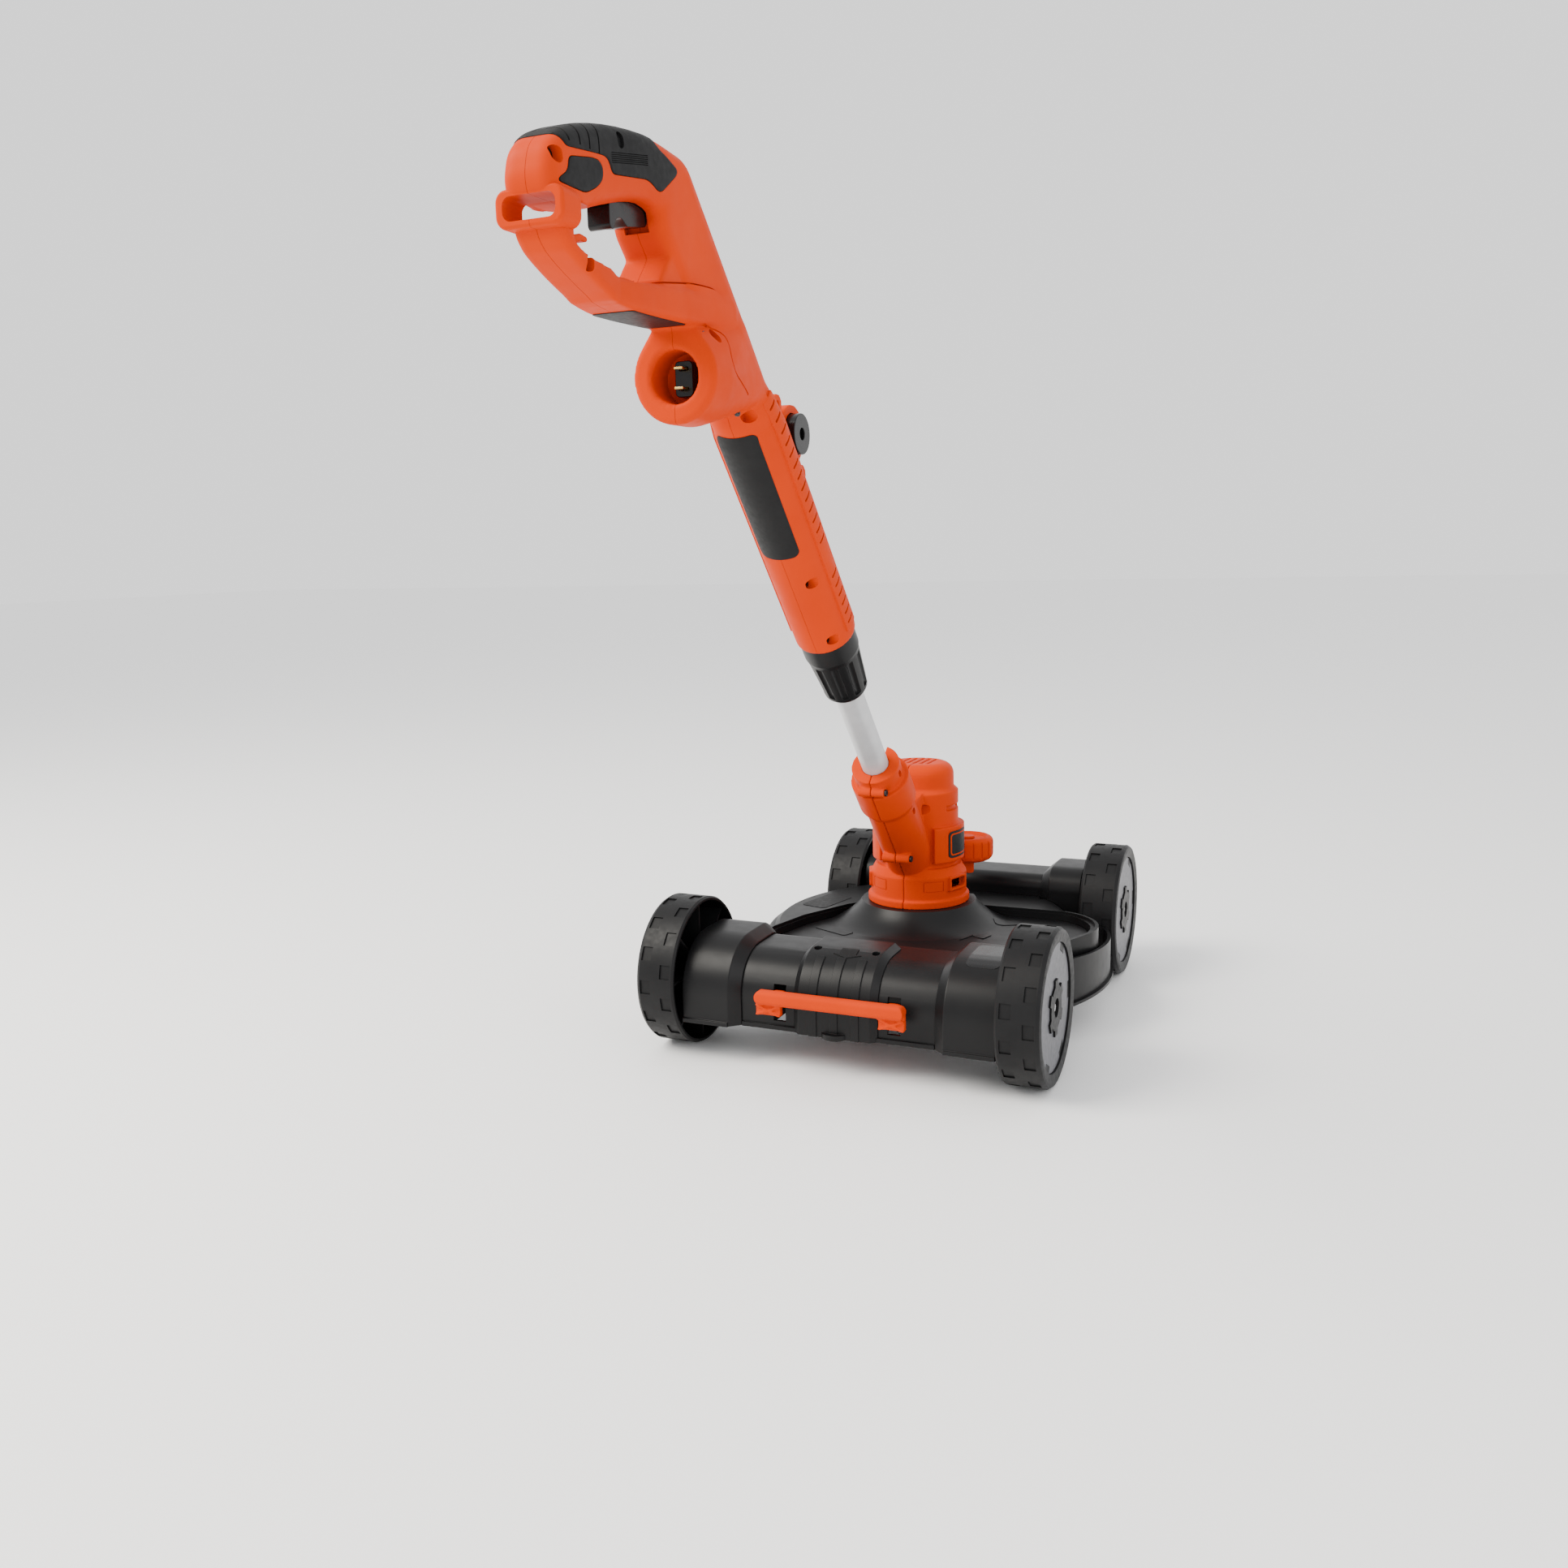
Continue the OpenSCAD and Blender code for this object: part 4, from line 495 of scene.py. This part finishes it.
# How far cutters stand above the surface that they cut
ABOVE = 2
# Screw recesses: place across and along, and floor from the seam
HANDLE_SCREWS = [(-20, 12.5, 9), (-20, 76, 9), (-19, 236.5, 8), (-38, 315, 17)]
GRIP_SCREWS = [(-68, -62.5, 10), (-97, -12, 9), (-33.5, 9.8, 10)]
RECESS_R = 3.4
RECESS_LENGTH = 2.5
DIMPLE = 1.4
# Keeps a corner radius just below half of a width
ROUND_SLACK = 0.1
# Vent slots: start, pitch and count of the upper and lower rows, then a slot's width, height and corner
VENT_ACROSS = -0.8
VENT_UPPER = (231.6, 10.5, 13)
VENT_LOWER = (69.1, 10.1, 6)
VENT_SLOT = (11, 1.8, 0.8)
VENT_TILT_DEG = 6
VENT_REACH = 5
# Raised band round the vents: place along, inset at its ends and rise above the column
BAND_ROWS = [(10, 1, 1.5), (11, 0, 1.5), (212, 0, 1.5), (238, 0, -1.5), (239, 1, -1.5)]
BAND_HALF = 8.5
BAND_FALL = 0.6
BAND_STEPS = 8
BAND_SUNK = 8
# Push button: its place across and along, and the radius and floor of its bores
BUTTON_AT = (37.5, 176)
BUTTON_BORES = [(15.9, 4.7), (7.4, -9.2)]
POCKET_FLOOR = 5
MARK_DEPTH = 0.9
# Trigger's slot between two corners, and the radius and top of the column's bores
TRIGGER_SLOT = [(-8.4, -32.5, -30), (8.4, 19.5, -4)]
COLUMN_BORES = [(13.4, 200), (16, 34), (19.3, 8.3)]
COLUMN_BORE_FROM = -10
# Gap at the seam, and a block round the handle that keeps one shell
SEAM_HALF = 0.12
SHELL_REACH = 80
SHELL_Y = (-600, 300)
SHELL_Z = (200, 900)
CORNER_LIMIT = 0.45


def rounded_corners(outline, size=4.0, steps=5):
    """Closed outline with each corner replaced by a short curve that starts size before it."""
    result = []
    for i, corner in enumerate(outline):
        corner = Vector(corner)
        ends = []
        for other in (Vector(outline[i - 1]), Vector(outline[(i + 1) % len(outline)])):
            way = other - corner
            ends.append(corner + way * min(CORNER_LIMIT, size / way.length))
        for k in range(steps + 1):
            t = k / steps
            result.append(tuple(ends[0] * (1 - t) ** 2 + corner * (2 * t * (1 - t)) + ends[1] * t ** 2))
    return result


def line_through(points):
    """Smooth line through points."""
    return [place for place, _, _ in curve([(point, 0, 0) for point in points])]


def strip(points, half):
    """Outline of a line with a width, from its points."""
    sides = ([], [])
    for i, point in enumerate(points):
        way = Vector(points[min(i + 1, len(points) - 1)]) - Vector(points[max(i - 1, 0)])
        across = Vector((-way.y, way.x)).normalized() * half
        sides[0].append(tuple(Vector(point) + across))
        sides[1].append(tuple(Vector(point) - across))
    return sides[0] + sides[1][::-1]


def ramp_up(value, limits):
    """0 below the limits, 1 above them, smooth between."""
    t = min(1, max(0, (value - limits[0]) / (limits[1] - limits[0])))
    return t * t * (3 - 2 * t)


TO_GRIP = GRIP.inverted()
TO_HANDLE = HANDLE.inverted()


def ledge_rise(point):
    """Height of the raised part at a point: none at the handle's rear and on the column below the inlet."""
    share = ramp_up((TO_GRIP @ point).y, LEDGE_REAR) * ramp_up((TO_HANDLE @ point).z, LEDGE_LOW)
    return (LEDGE_RISE + SEAT) * share - SEAT


def shrunk(outline, gap):
    """Outline drawn in by about gap."""
    cy = sum(p[0] for p in outline) / len(outline)
    cz = sum(p[1] for p in outline) / len(outline)
    result = []
    for y, z in outline:
        reach = math.hypot(y - cy, z - cz)
        result.append((y - gap * (y - cy) / reach, z - gap * (z - cz) / reach))
    return result


def recess(place, y, z, depth):
    """Elongated screw recess on the right-hand side."""
    slot = rounded(2 * RECESS_R + RECESS_LENGTH, 2 * RECESS_R, RECESS_R - ROUND_SLACK)
    outline = [(y + a, z + b) for b, a in slot]
    return prism_x("recess", place, outline, depth - SEAT, FAR)


def vent_cutters():
    """Slanted vent slots on both sides of the housing."""
    cutters = []
    places = [start - pitch * i for start, pitch, count in (VENT_UPPER, VENT_LOWER) for i in range(count)]
    for side in (-1, 1):
        for s in places:
            place = (HANDLE @ Matrix.Translation((side * COLUMN_R, VENT_ACROSS, s))
                     @ Matrix.Rotation(math.radians(VENT_TILT_DEG), 4, "X"))
            cutters.append(prism_x("vent", place, rounded(*VENT_SLOT), -VENT_REACH, VENT_REACH))
    return cutters


def vent_band(side):
    """Raised band that carries the vent slots."""
    rows = []
    for z, inset, rise in BAND_ROWS:
        row = []
        half = BAND_HALF - inset
        reach = COLUMN_R + rise - BAND_FALL * inset
        for i in range(BAND_STEPS + 1):
            y = VENT_ACROSS - half + 2 * half * i / BAND_STEPS
            row.append(HANDLE @ Vector((side * math.sqrt(reach ** 2 - y ** 2), y, z)))
        for y in (VENT_ACROSS + half, VENT_ACROSS - half):
            row.append(HANDLE @ Vector((side * (COLUMN_R - BAND_SUNK), y, z)))
        rows.append(row)
    return loft("vent_band", rows)


def layer(body, outline, above, below):
    """What lies within an outline and between two offsets of a body's surface."""
    piece = copy_of(body, "layer", above)
    combine(piece, [copy_of(body, "core", -below)])
    return combine(piece, [prism_x("zone", GRIP, outline, -FAR, FAR)], "INTERSECT")


DRAPE_ROWS = 24
DRAPE_FROM = 60
DRAPE_SINK = 0.3


def draped(name, mesh, place, columns, lift):
    """Plate that lies on a mesh, seen along the place's Z; columns hold x, lowest y and highest y."""
    tree = BVHTree.FromPolygons([v.co for v in mesh.vertices], [p.vertices for p in mesh.polygons])
    out = (place.to_3x3() @ Vector((0, 0, 1))).normalized()
    rings = []
    for x, low, high in columns:
        upper = []
        for i in range(DRAPE_ROWS + 1):
            above = place @ Vector((x, low + (high - low) * i / DRAPE_ROWS, DRAPE_FROM))
            upper.append(tree.ray_cast(above, -out)[0])
        rings.append([p + out * lift * MM for p in upper] + [p - out * DRAPE_SINK * MM for p in upper[::-1]])
    return loft(name, rings)


def panel_columns(width, height, corner, steps=5, between=10):
    """Columns of a rounded panel about the origin."""
    ends = []
    for i in range(steps + 1):
        t = math.pi / 2 * i / steps
        ends.append((width / 2 - corner + corner * math.cos(t), height / 2 - corner + corner * math.sin(t)))
    inner = width / 2 - corner
    places = [(-x, half) for x, half in ends]
    places += [(inner * (2 * i / between - 1), height / 2) for i in range(1, between)]
    places += ends[::-1]
    return [(x, -half, half) for x, half in places]


# Panels on the handle: places, and width, height and corner
LABEL_UP = 165
LABEL_TURN_DEG = -3
LABEL_PLACE = (HANDLE @ Matrix.Translation((0, 0, LABEL_UP))
               @ Matrix.Rotation(math.radians(LABEL_TURN_DEG), 4, "Z") @ Matrix.Rotation(math.pi / 2, 4, "X"))
LABEL_SIZE = (33, 116, 5)
UNDER_AT = (0, 15, -72)
UNDER_PLACE = GRIP @ Matrix.Translation(UNDER_AT) @ Matrix.Rotation(math.pi, 4, "Y")
UNDER_SIZE = (29, 70, 3.5)
PANEL_LIFT = 0.5


def build_handle():
    """Both handle shells, the soft grip and the finger pad."""
    body = handle_body()
    raised = copy_of(body, "raised", ledge_rise)
    edge = line_through(LEDGE_LINE)
    combine(raised, [prism_x("zone", GRIP, edge + LEDGE_REST, -FAR, FAR)], "INTERSECT")
    combine(body, [raised], "UNION")
    combine(body, [layer(body, strip(edge, LINE_HALF), ABOVE, LINE_DEPTH)])
    combine(body, [layer(body, strip(line_through(CREASE), LINE_HALF), ABOVE, CREASE_DEPTH)])
    smooth = copy_of(body, "smooth")
    skins = []
    for name, corners in (("soft_grip", GRIP_ZONE), ("finger_pad", PAD_ZONE)):
        zone = rounded_corners(corners)
        skin = layer(smooth, shrunk(zone, SEAT), SKIN_OUT, SKIN)
        skin.name = "moulded_" + name
        skins.append(soften(skin, SKIN_VOXEL, BODY_ROUNDS))
        combine(body, [layer(smooth, zone, SKIN_OUT + OVERLAP, SKIN + SEAT)])
    marks = copy_of(smooth, "marks", SKIN_OUT + ABOVE)
    combine(marks, [copy_of(smooth, "core", SKIN_OUT - MARK_DEPTH)])
    combine(marks, [joined("grooves", grip_grooves())], "INTERSECT")
    dimple = copy_of(smooth, "dimple", SKIN_OUT + ABOVE)
    combine(dimple, [copy_of(smooth, "core", -DIMPLE)])
    combine(dimple, [recess(GRIP, *GRIP_SCREWS[2])], "INTERSECT")
    combine(skins[0], [marks, dimple])
    label = draped("label_plate", smooth.data, LABEL_PLACE, panel_columns(*LABEL_SIZE), PANEL_LIFT)
    finish_piece(label, "handle", FILM, ["label_panel"])
    under = draped("under_panel", smooth.data, UNDER_PLACE, panel_columns(*UNDER_SIZE), PANEL_LIFT)
    finish_piece(under, "handle", FILM)
    bpy.data.objects.remove(smooth)

    combine(body, [vent_band(-1), vent_band(1)], "UNION")
    cutters = [joined("vents", vent_cutters())]
    cutters += [recess(HANDLE, *place) for place in HANDLE_SCREWS]
    cutters += [recess(GRIP, *place) for place in GRIP_SCREWS[:2]]
    cutters.append(box("slot", GRIP, *TRIGGER_SLOT))
    for radius, top in COLUMN_BORES:
        cutters.append(prism_z("bore", HANDLE, circle(radius), COLUMN_BORE_FROM, top))
    pocket = circle(BUTTON_BORES[0][0], centre=BUTTON_AT)
    cutters.append(prism_x("pocket", HANDLE, pocket, POCKET_FLOOR, FAR))
    combine(body, cutters)

    for side, name in ((-1, "handle_shell_left"), (1, "handle_shell_right")):
        low, high = sorted((side * SEAM_HALF, side * SHELL_REACH))
        shell = copy_of(body, "moulded_" + name)
        half = box("half", PART, (low, SHELL_Y[0], SHELL_Z[0]), (high, SHELL_Y[1], SHELL_Z[1]))
        combine(shell, [half], "INTERSECT")
        finish_piece(shell, "handle", ORANGE, [name])
    bpy.data.objects.remove(body)
    finish_piece(skins[0], "handle", RUBBER, ["soft_grip"])
    finish_piece(skins[1], "handle", RUBBER, ["finger_pad"])


# Grooves across the grip and fine lines on its sides: reach from the seam, first place, pitch and count
GROOVE_REACH = (3, 19)
GROOVE_FIRST = -86.5
GROOVE_PITCH = 9.7
GROOVE_COUNT = 4
GROOVE_HALF = 0.6
GROOVE_SPAN = (-3, 30)
LINES_REACH = (12, 30)
LINES_FIRST = (-44.5, -5)
LINES_PITCH = 1.05
LINES_COUNT = 6
LINES_LENGTH = 42
LINES_WIDTH = 0.5
LINES_SLOPE_DEG = 10.5


def grip_grooves():
    """Grooves across the grip's rear top and fine lines along its sides."""
    cutters = []
    slope = Matrix.Rotation(math.radians(LINES_SLOPE_DEG), 4, "X")
    for side in (-1, 1):
        low, high = sorted(side * reach for reach in GROOVE_REACH)
        for i in range(GROOVE_COUNT):
            y = GROOVE_FIRST + GROOVE_PITCH * i
            cutters.append(box("groove", GRIP, (low, y - GROOVE_HALF, GROOVE_SPAN[0]),
                               (high, y + GROOVE_HALF, GROOVE_SPAN[1])))
        low, high = sorted(side * reach for reach in LINES_REACH)
        for i in range(LINES_COUNT):
            first = Matrix.Translation((0, LINES_FIRST[0], LINES_FIRST[1] + LINES_PITCH * i))
            cutters.append(box("line", GRIP @ first @ slope, (low, 0, 0), (high, LINES_LENGTH, LINES_WIDTH)))
    return cutters


PANEL_STEPS = 40


def curved_panel(name, place, radius, thickness, width, low, high, corner, turn=0):
    """Thin panel on a cylinder about Z, with rounded corners."""
    bm = bmesh.new()
    columns = []
    for i in range(PANEL_STEPS + 1):
        share = 0.5 - 0.5 * math.cos(math.pi * i / PANEL_STEPS)
        u = -width / 2 + width * share
        d = min(corner, width / 2 - abs(u))
        inset = corner - math.sqrt(max(0.0, corner ** 2 - (corner - d) ** 2))
        angle = turn + u / radius
        column = []
        for r in (radius, radius - thickness):
            for z in (low + inset, high - inset):
                column.append(bm.verts.new(place @ Vector((r * math.cos(angle), r * math.sin(angle), z))))
        columns.append(column)
    for a, b in zip(columns, columns[1:]):
        for i, j in ((0, 1), (1, 3), (3, 2), (2, 0)):
            bm.faces.new((a[i], a[j], b[j], b[i]))
    for end in (columns[0], columns[-1]):
        bm.faces.new((end[0], end[1], end[3], end[2]))
    return add_object(name, bm)


# Head: shallow outline on its base, and small holes with their frame, place, size and reach from the seam
BASE_R = 49
RELIEF_LOW = 121.5
RELIEF_HIGH = 132.6
RELIEF_TURN_DEG = 54
RELIEF_WIDTH = 22
RELIEF_LINE = 0.8
RELIEF_CORNER = 0.6
HEAD_HOLES = [(SHAFT, -2, 182.6, 4.5, 8, 20), (SHAFT, -2.4, 125.5, 4.5, 8, 21),
              (HEAD, -37.5, 205.5, 8, 10, 12)]


def head_cuts(side):
    """Small holes and a shallow outline on one side of the head."""
    cutters = []
    for place, across, along, wide, high, reach in HEAD_HOLES:
        outline = [(across + a, along + b) for a, b in rounded(wide, high, wide / 2 - ROUND_SLACK)]
        cutters.append(prism_x("hole", place, outline, *sorted((side * reach, side * FAR))))
    turn = math.radians(-RELIEF_TURN_DEG if side > 0 else RELIEF_TURN_DEG - 180)
    edge = curved_panel("edge", HEAD, radius=BASE_R + 1, thickness=1.7, width=RELIEF_WIDTH, low=RELIEF_LOW,
                        high=RELIEF_HIGH, corner=RELIEF_CORNER, turn=turn)
    inner = curved_panel("inner", HEAD, radius=BASE_R + 2, thickness=4, width=RELIEF_WIDTH - 2 * RELIEF_LINE,
                         low=RELIEF_LOW + RELIEF_LINE, high=RELIEF_HIGH - RELIEF_LINE, corner=RELIEF_CORNER,
                         turn=turn)
    cutters.append(combine(edge, [inner]))
    return cutters


def build_badge():
    """Plain plate with an outline on the head's pad."""
    badge = curved_panel("badge", HEAD, radius=47.05, thickness=0.8, width=52, low=153.8, high=181.2,
                         corner=5)
    line = curved_panel("badge_line", HEAD, radius=47.2, thickness=0.5, width=47, low=156.2, high=178.8,
                        corner=3.5)
    hole = curved_panel("hole", HEAD, radius=48, thickness=3, width=44.4, low=157.5, high=177.5, corner=2.6)
    combine(line, [hole])
    finish_piece(badge, "head", FILM, ["badge_plate"])
    finish_piece(line, "head", ORANGE)


# Deck details: panels with place, turn in degrees, and width, height and corner
DECK_ABOVE = 120
CAP_PANEL_AT = (128, 29)
CAP_PANEL = (30, 50, 5)
PAD_PANEL_AT = (-103, 226, -14)
PAD_PANEL = (30, 54, 5)
DECK_PANEL_LIFT = 0.4
# Reliefs on the guard: middle, length, width and turn in degrees
GUARD_RELIEFS = [(-66, 151, 44, 15, -25), (92, 231, 26, 17, 25)]
RELIEF_ROUND = 4
RELIEF_LIFT = 0.6
# Ribs on the guard, as a line in plan
CHEVRON = [(64, 158), (71.5, 174.5), (84, 169), (88, 182)]
RIB_WIDTH = 1.6
RIB_ROUND = 0.7
RIB_LIFT = 0.7
# Arrow on the latch housing: x, lowest y and highest y of its columns
ARROW = [(-13.5, 8.9, 9), (-8.05, 7, 9), (-8, 7, 19), (0, 4.5, 19), (8, 7, 19), (8.05, 7, 9),
         (13.5, 8.9, 9)]
ARROW_AT = (3, 0)
ARROW_LIFT = 0.7


def deck_place(x, y, turn=0.0):
    """Frame above the deck that looks down on it."""
    return PART @ Matrix.Translation((x, y, DECK_ABOVE)) @ Matrix.Rotation(math.radians(turn), 4, "Z")


def build_deck_details():
    """Raised arrow on the latch housing, plain panels on the deck and reliefs on the guard."""
    arrow = draped("latch_arrow", nodes["latch_housing"].data, deck_place(*ARROW_AT), ARROW, ARROW_LIFT)
    finish_piece(arrow, "deck", RUBBER)
    panel = draped("cap_panel", nodes["end_cap_rear_right"].data, deck_place(*CAP_PANEL_AT),
                   panel_columns(*CAP_PANEL), DECK_PANEL_LIFT)
    finish_piece(panel, "deck", GLOSS)
    panel = draped("pad_panel", nodes["deck_pad"].data, deck_place(*PAD_PANEL_AT), panel_columns(*PAD_PANEL),
                   DECK_PANEL_LIFT)
    finish_piece(panel, "deck", FILM)
    guard = nodes["guard"].data
    for i, (x, y, length, width, turn) in enumerate(GUARD_RELIEFS):
        columns = panel_columns(length, width, RELIEF_ROUND)
        relief = draped(f"guard_relief_{i + 1}", guard, deck_place(x, y, turn), columns, RELIEF_LIFT)
        finish_piece(relief, "head", BLACK)
    for i, (a, b) in enumerate(zip(CHEVRON, CHEVRON[1:])):
        way = Vector(b) - Vector(a)
        middle = (Vector(a) + Vector(b)) / 2
        place = deck_place(*middle, math.degrees(math.atan2(way.y, way.x)))
        columns = panel_columns(way.length + RIB_WIDTH, RIB_WIDTH, RIB_ROUND)
        rib = draped(f"guard_rib_{i + 1}", guard, place, columns, RIB_LIFT)
        finish_piece(rib, "head", BLACK)


build_handle()
build_badge()
build_deck_details()

HEAD_VOXEL = 0.9
SMALL_VOXEL = 0.8
for head_side, shell in ((-1, "head_shell_left"), (1, "head_shell_right")):
    moulded(shell, HEAD_VOXEL, BODY_ROUNDS, ORANGE, "head", head_cuts(head_side))
button_bores = [prism_x("bore", HANDLE, circle(radius, centre=BUTTON_AT), floor, FAR)
                for radius, floor in BUTTON_BORES]
moulded("aux_bracket", SMALL_VOXEL, BODY_ROUNDS, ORANGE, "handle", button_bores)
moulded("foot_pedal", SMALL_VOXEL, BODY_ROUNDS, ORANGE, "pedal")

# CAD nodes that keep their shape
CORNERS = [end + "_" + side for end in ("rear", "front") for side in ("left", "right")]
dress(["rear_beam", "front_beam", "latch_housing", "deck_shroud", "deck_pad", "guard"], BLACK, edge=1.0)
dress(["end_cap_" + corner for corner in CORNERS], BLACK, edge=1.0)
dress(["wheel_" + corner for corner in CORNERS], WHEEL, edge=0.6)
dress(["hub_disc_" + corner for corner in CORNERS], DISC, edge=0.4)
dress(["edging_wheel", "edging_pin"], ORANGE, edge=0.8)
dress(["collet_nut", "collet_sleeve", "handle_spigot", "spool_housing", "spool_cap"], BLACK, edge=0.6)
dress(["trigger"], GLOSS, edge=1.2)
dress(["aux_button", "inlet_insert", "switch_box"], GLOSS, edge=0.6)
dress(["spool"], DISC, edge=0.4)
dress(["line_winding"], NYLON, edge=0.4)
dress(["lower_tube"], TUBE, edge=0.3)
dress(["inlet_blades"], BRASS, edge=0.3)
dress(["head_screws", "handle_screws", "deck_screws", "latch_hook", "pedal_pin"], OXIDE, edge=0.2)
dress(["axle_pins", "axle_clips", "guard_screws", "line_cutter", "motor_can", "motor_bearings",
       "motor_shaft", "trigger_pin"], STEEL, edge=0.3)
dress(["pedal_spring", "trigger_spring", "aux_spring"], STEEL, edge=0)


# Floor, light and camera, in metres

FLOOR_HALF = 15
FLOOR_COLOUR = (0.95, 0.95, 0.95, 1)
FLOOR_ROUGHNESS = 0.6
WORLD_STRENGTH = 1.4
AIM_AT = (0, 0, 0.35)


def build_stage():
    """Pale floor, white surroundings and two soft lights."""
    bm = bmesh.new()
    bmesh.ops.create_grid(bm, x_segments=1, y_segments=1, size=FLOOR_HALF)
    floor = add_object("floor", bm)
    paint = bpy.data.materials.new("floor_paint")
    paint.use_nodes = True
    paint.node_tree.nodes["Principled BSDF"].inputs["Base Color"].default_value = FLOOR_COLOUR
    paint.node_tree.nodes["Principled BSDF"].inputs["Roughness"].default_value = FLOOR_ROUGHNESS
    floor.data.materials.append(paint)
    world = bpy.data.worlds.new("studio")
    world.use_nodes = True
    world.node_tree.nodes["Background"].inputs["Color"].default_value = (1, 1, 1, 1)
    world.node_tree.nodes["Background"].inputs["Strength"].default_value = WORLD_STRENGTH
    bpy.context.scene.world = world
    add_light("key", at=(-1.6, -1.2, 2.2), size=1.6, power=130, colour=(1, 0.96, 0.88))
    add_light("fill", at=(2.0, -1.0, 1.3), size=1.2, power=12)


def add_light(name, at, size, power, colour=(1, 1, 1)):
    """Square soft light that faces the middle of the object."""
    data = bpy.data.lights.new(name, "AREA")
    data.size = size
    data.energy = power
    data.color = colour
    lamp = bpy.data.objects.new(name, data)
    lamp.location = at
    lamp.rotation_euler = (Vector(AIM_AT) - Vector(at)).to_track_quat("-Z", "Y").to_euler()
    bpy.context.scene.collection.objects.link(lamp)


def build_camera():
    """Camera at the photographed viewing angle."""
    data = bpy.data.cameras.new("camera")
    data.sensor_width = SENSOR_MM
    data.lens = FOCAL_SHARE * SENSOR_MM
    camera = bpy.data.objects.new("camera", data)
    camera.matrix_world = Matrix((
        (CAMERA_RIGHT[0], CAMERA_UP[0], CAMERA_BACK[0], CAMERA_AT[0]),
        (CAMERA_RIGHT[1], CAMERA_UP[1], CAMERA_BACK[1], CAMERA_AT[1]),
        (CAMERA_RIGHT[2], CAMERA_UP[2], CAMERA_BACK[2], CAMERA_AT[2]),
        (0, 0, 0, 1)))
    bpy.context.scene.collection.objects.link(camera)
    bpy.context.scene.camera = camera


build_stage()
build_camera()
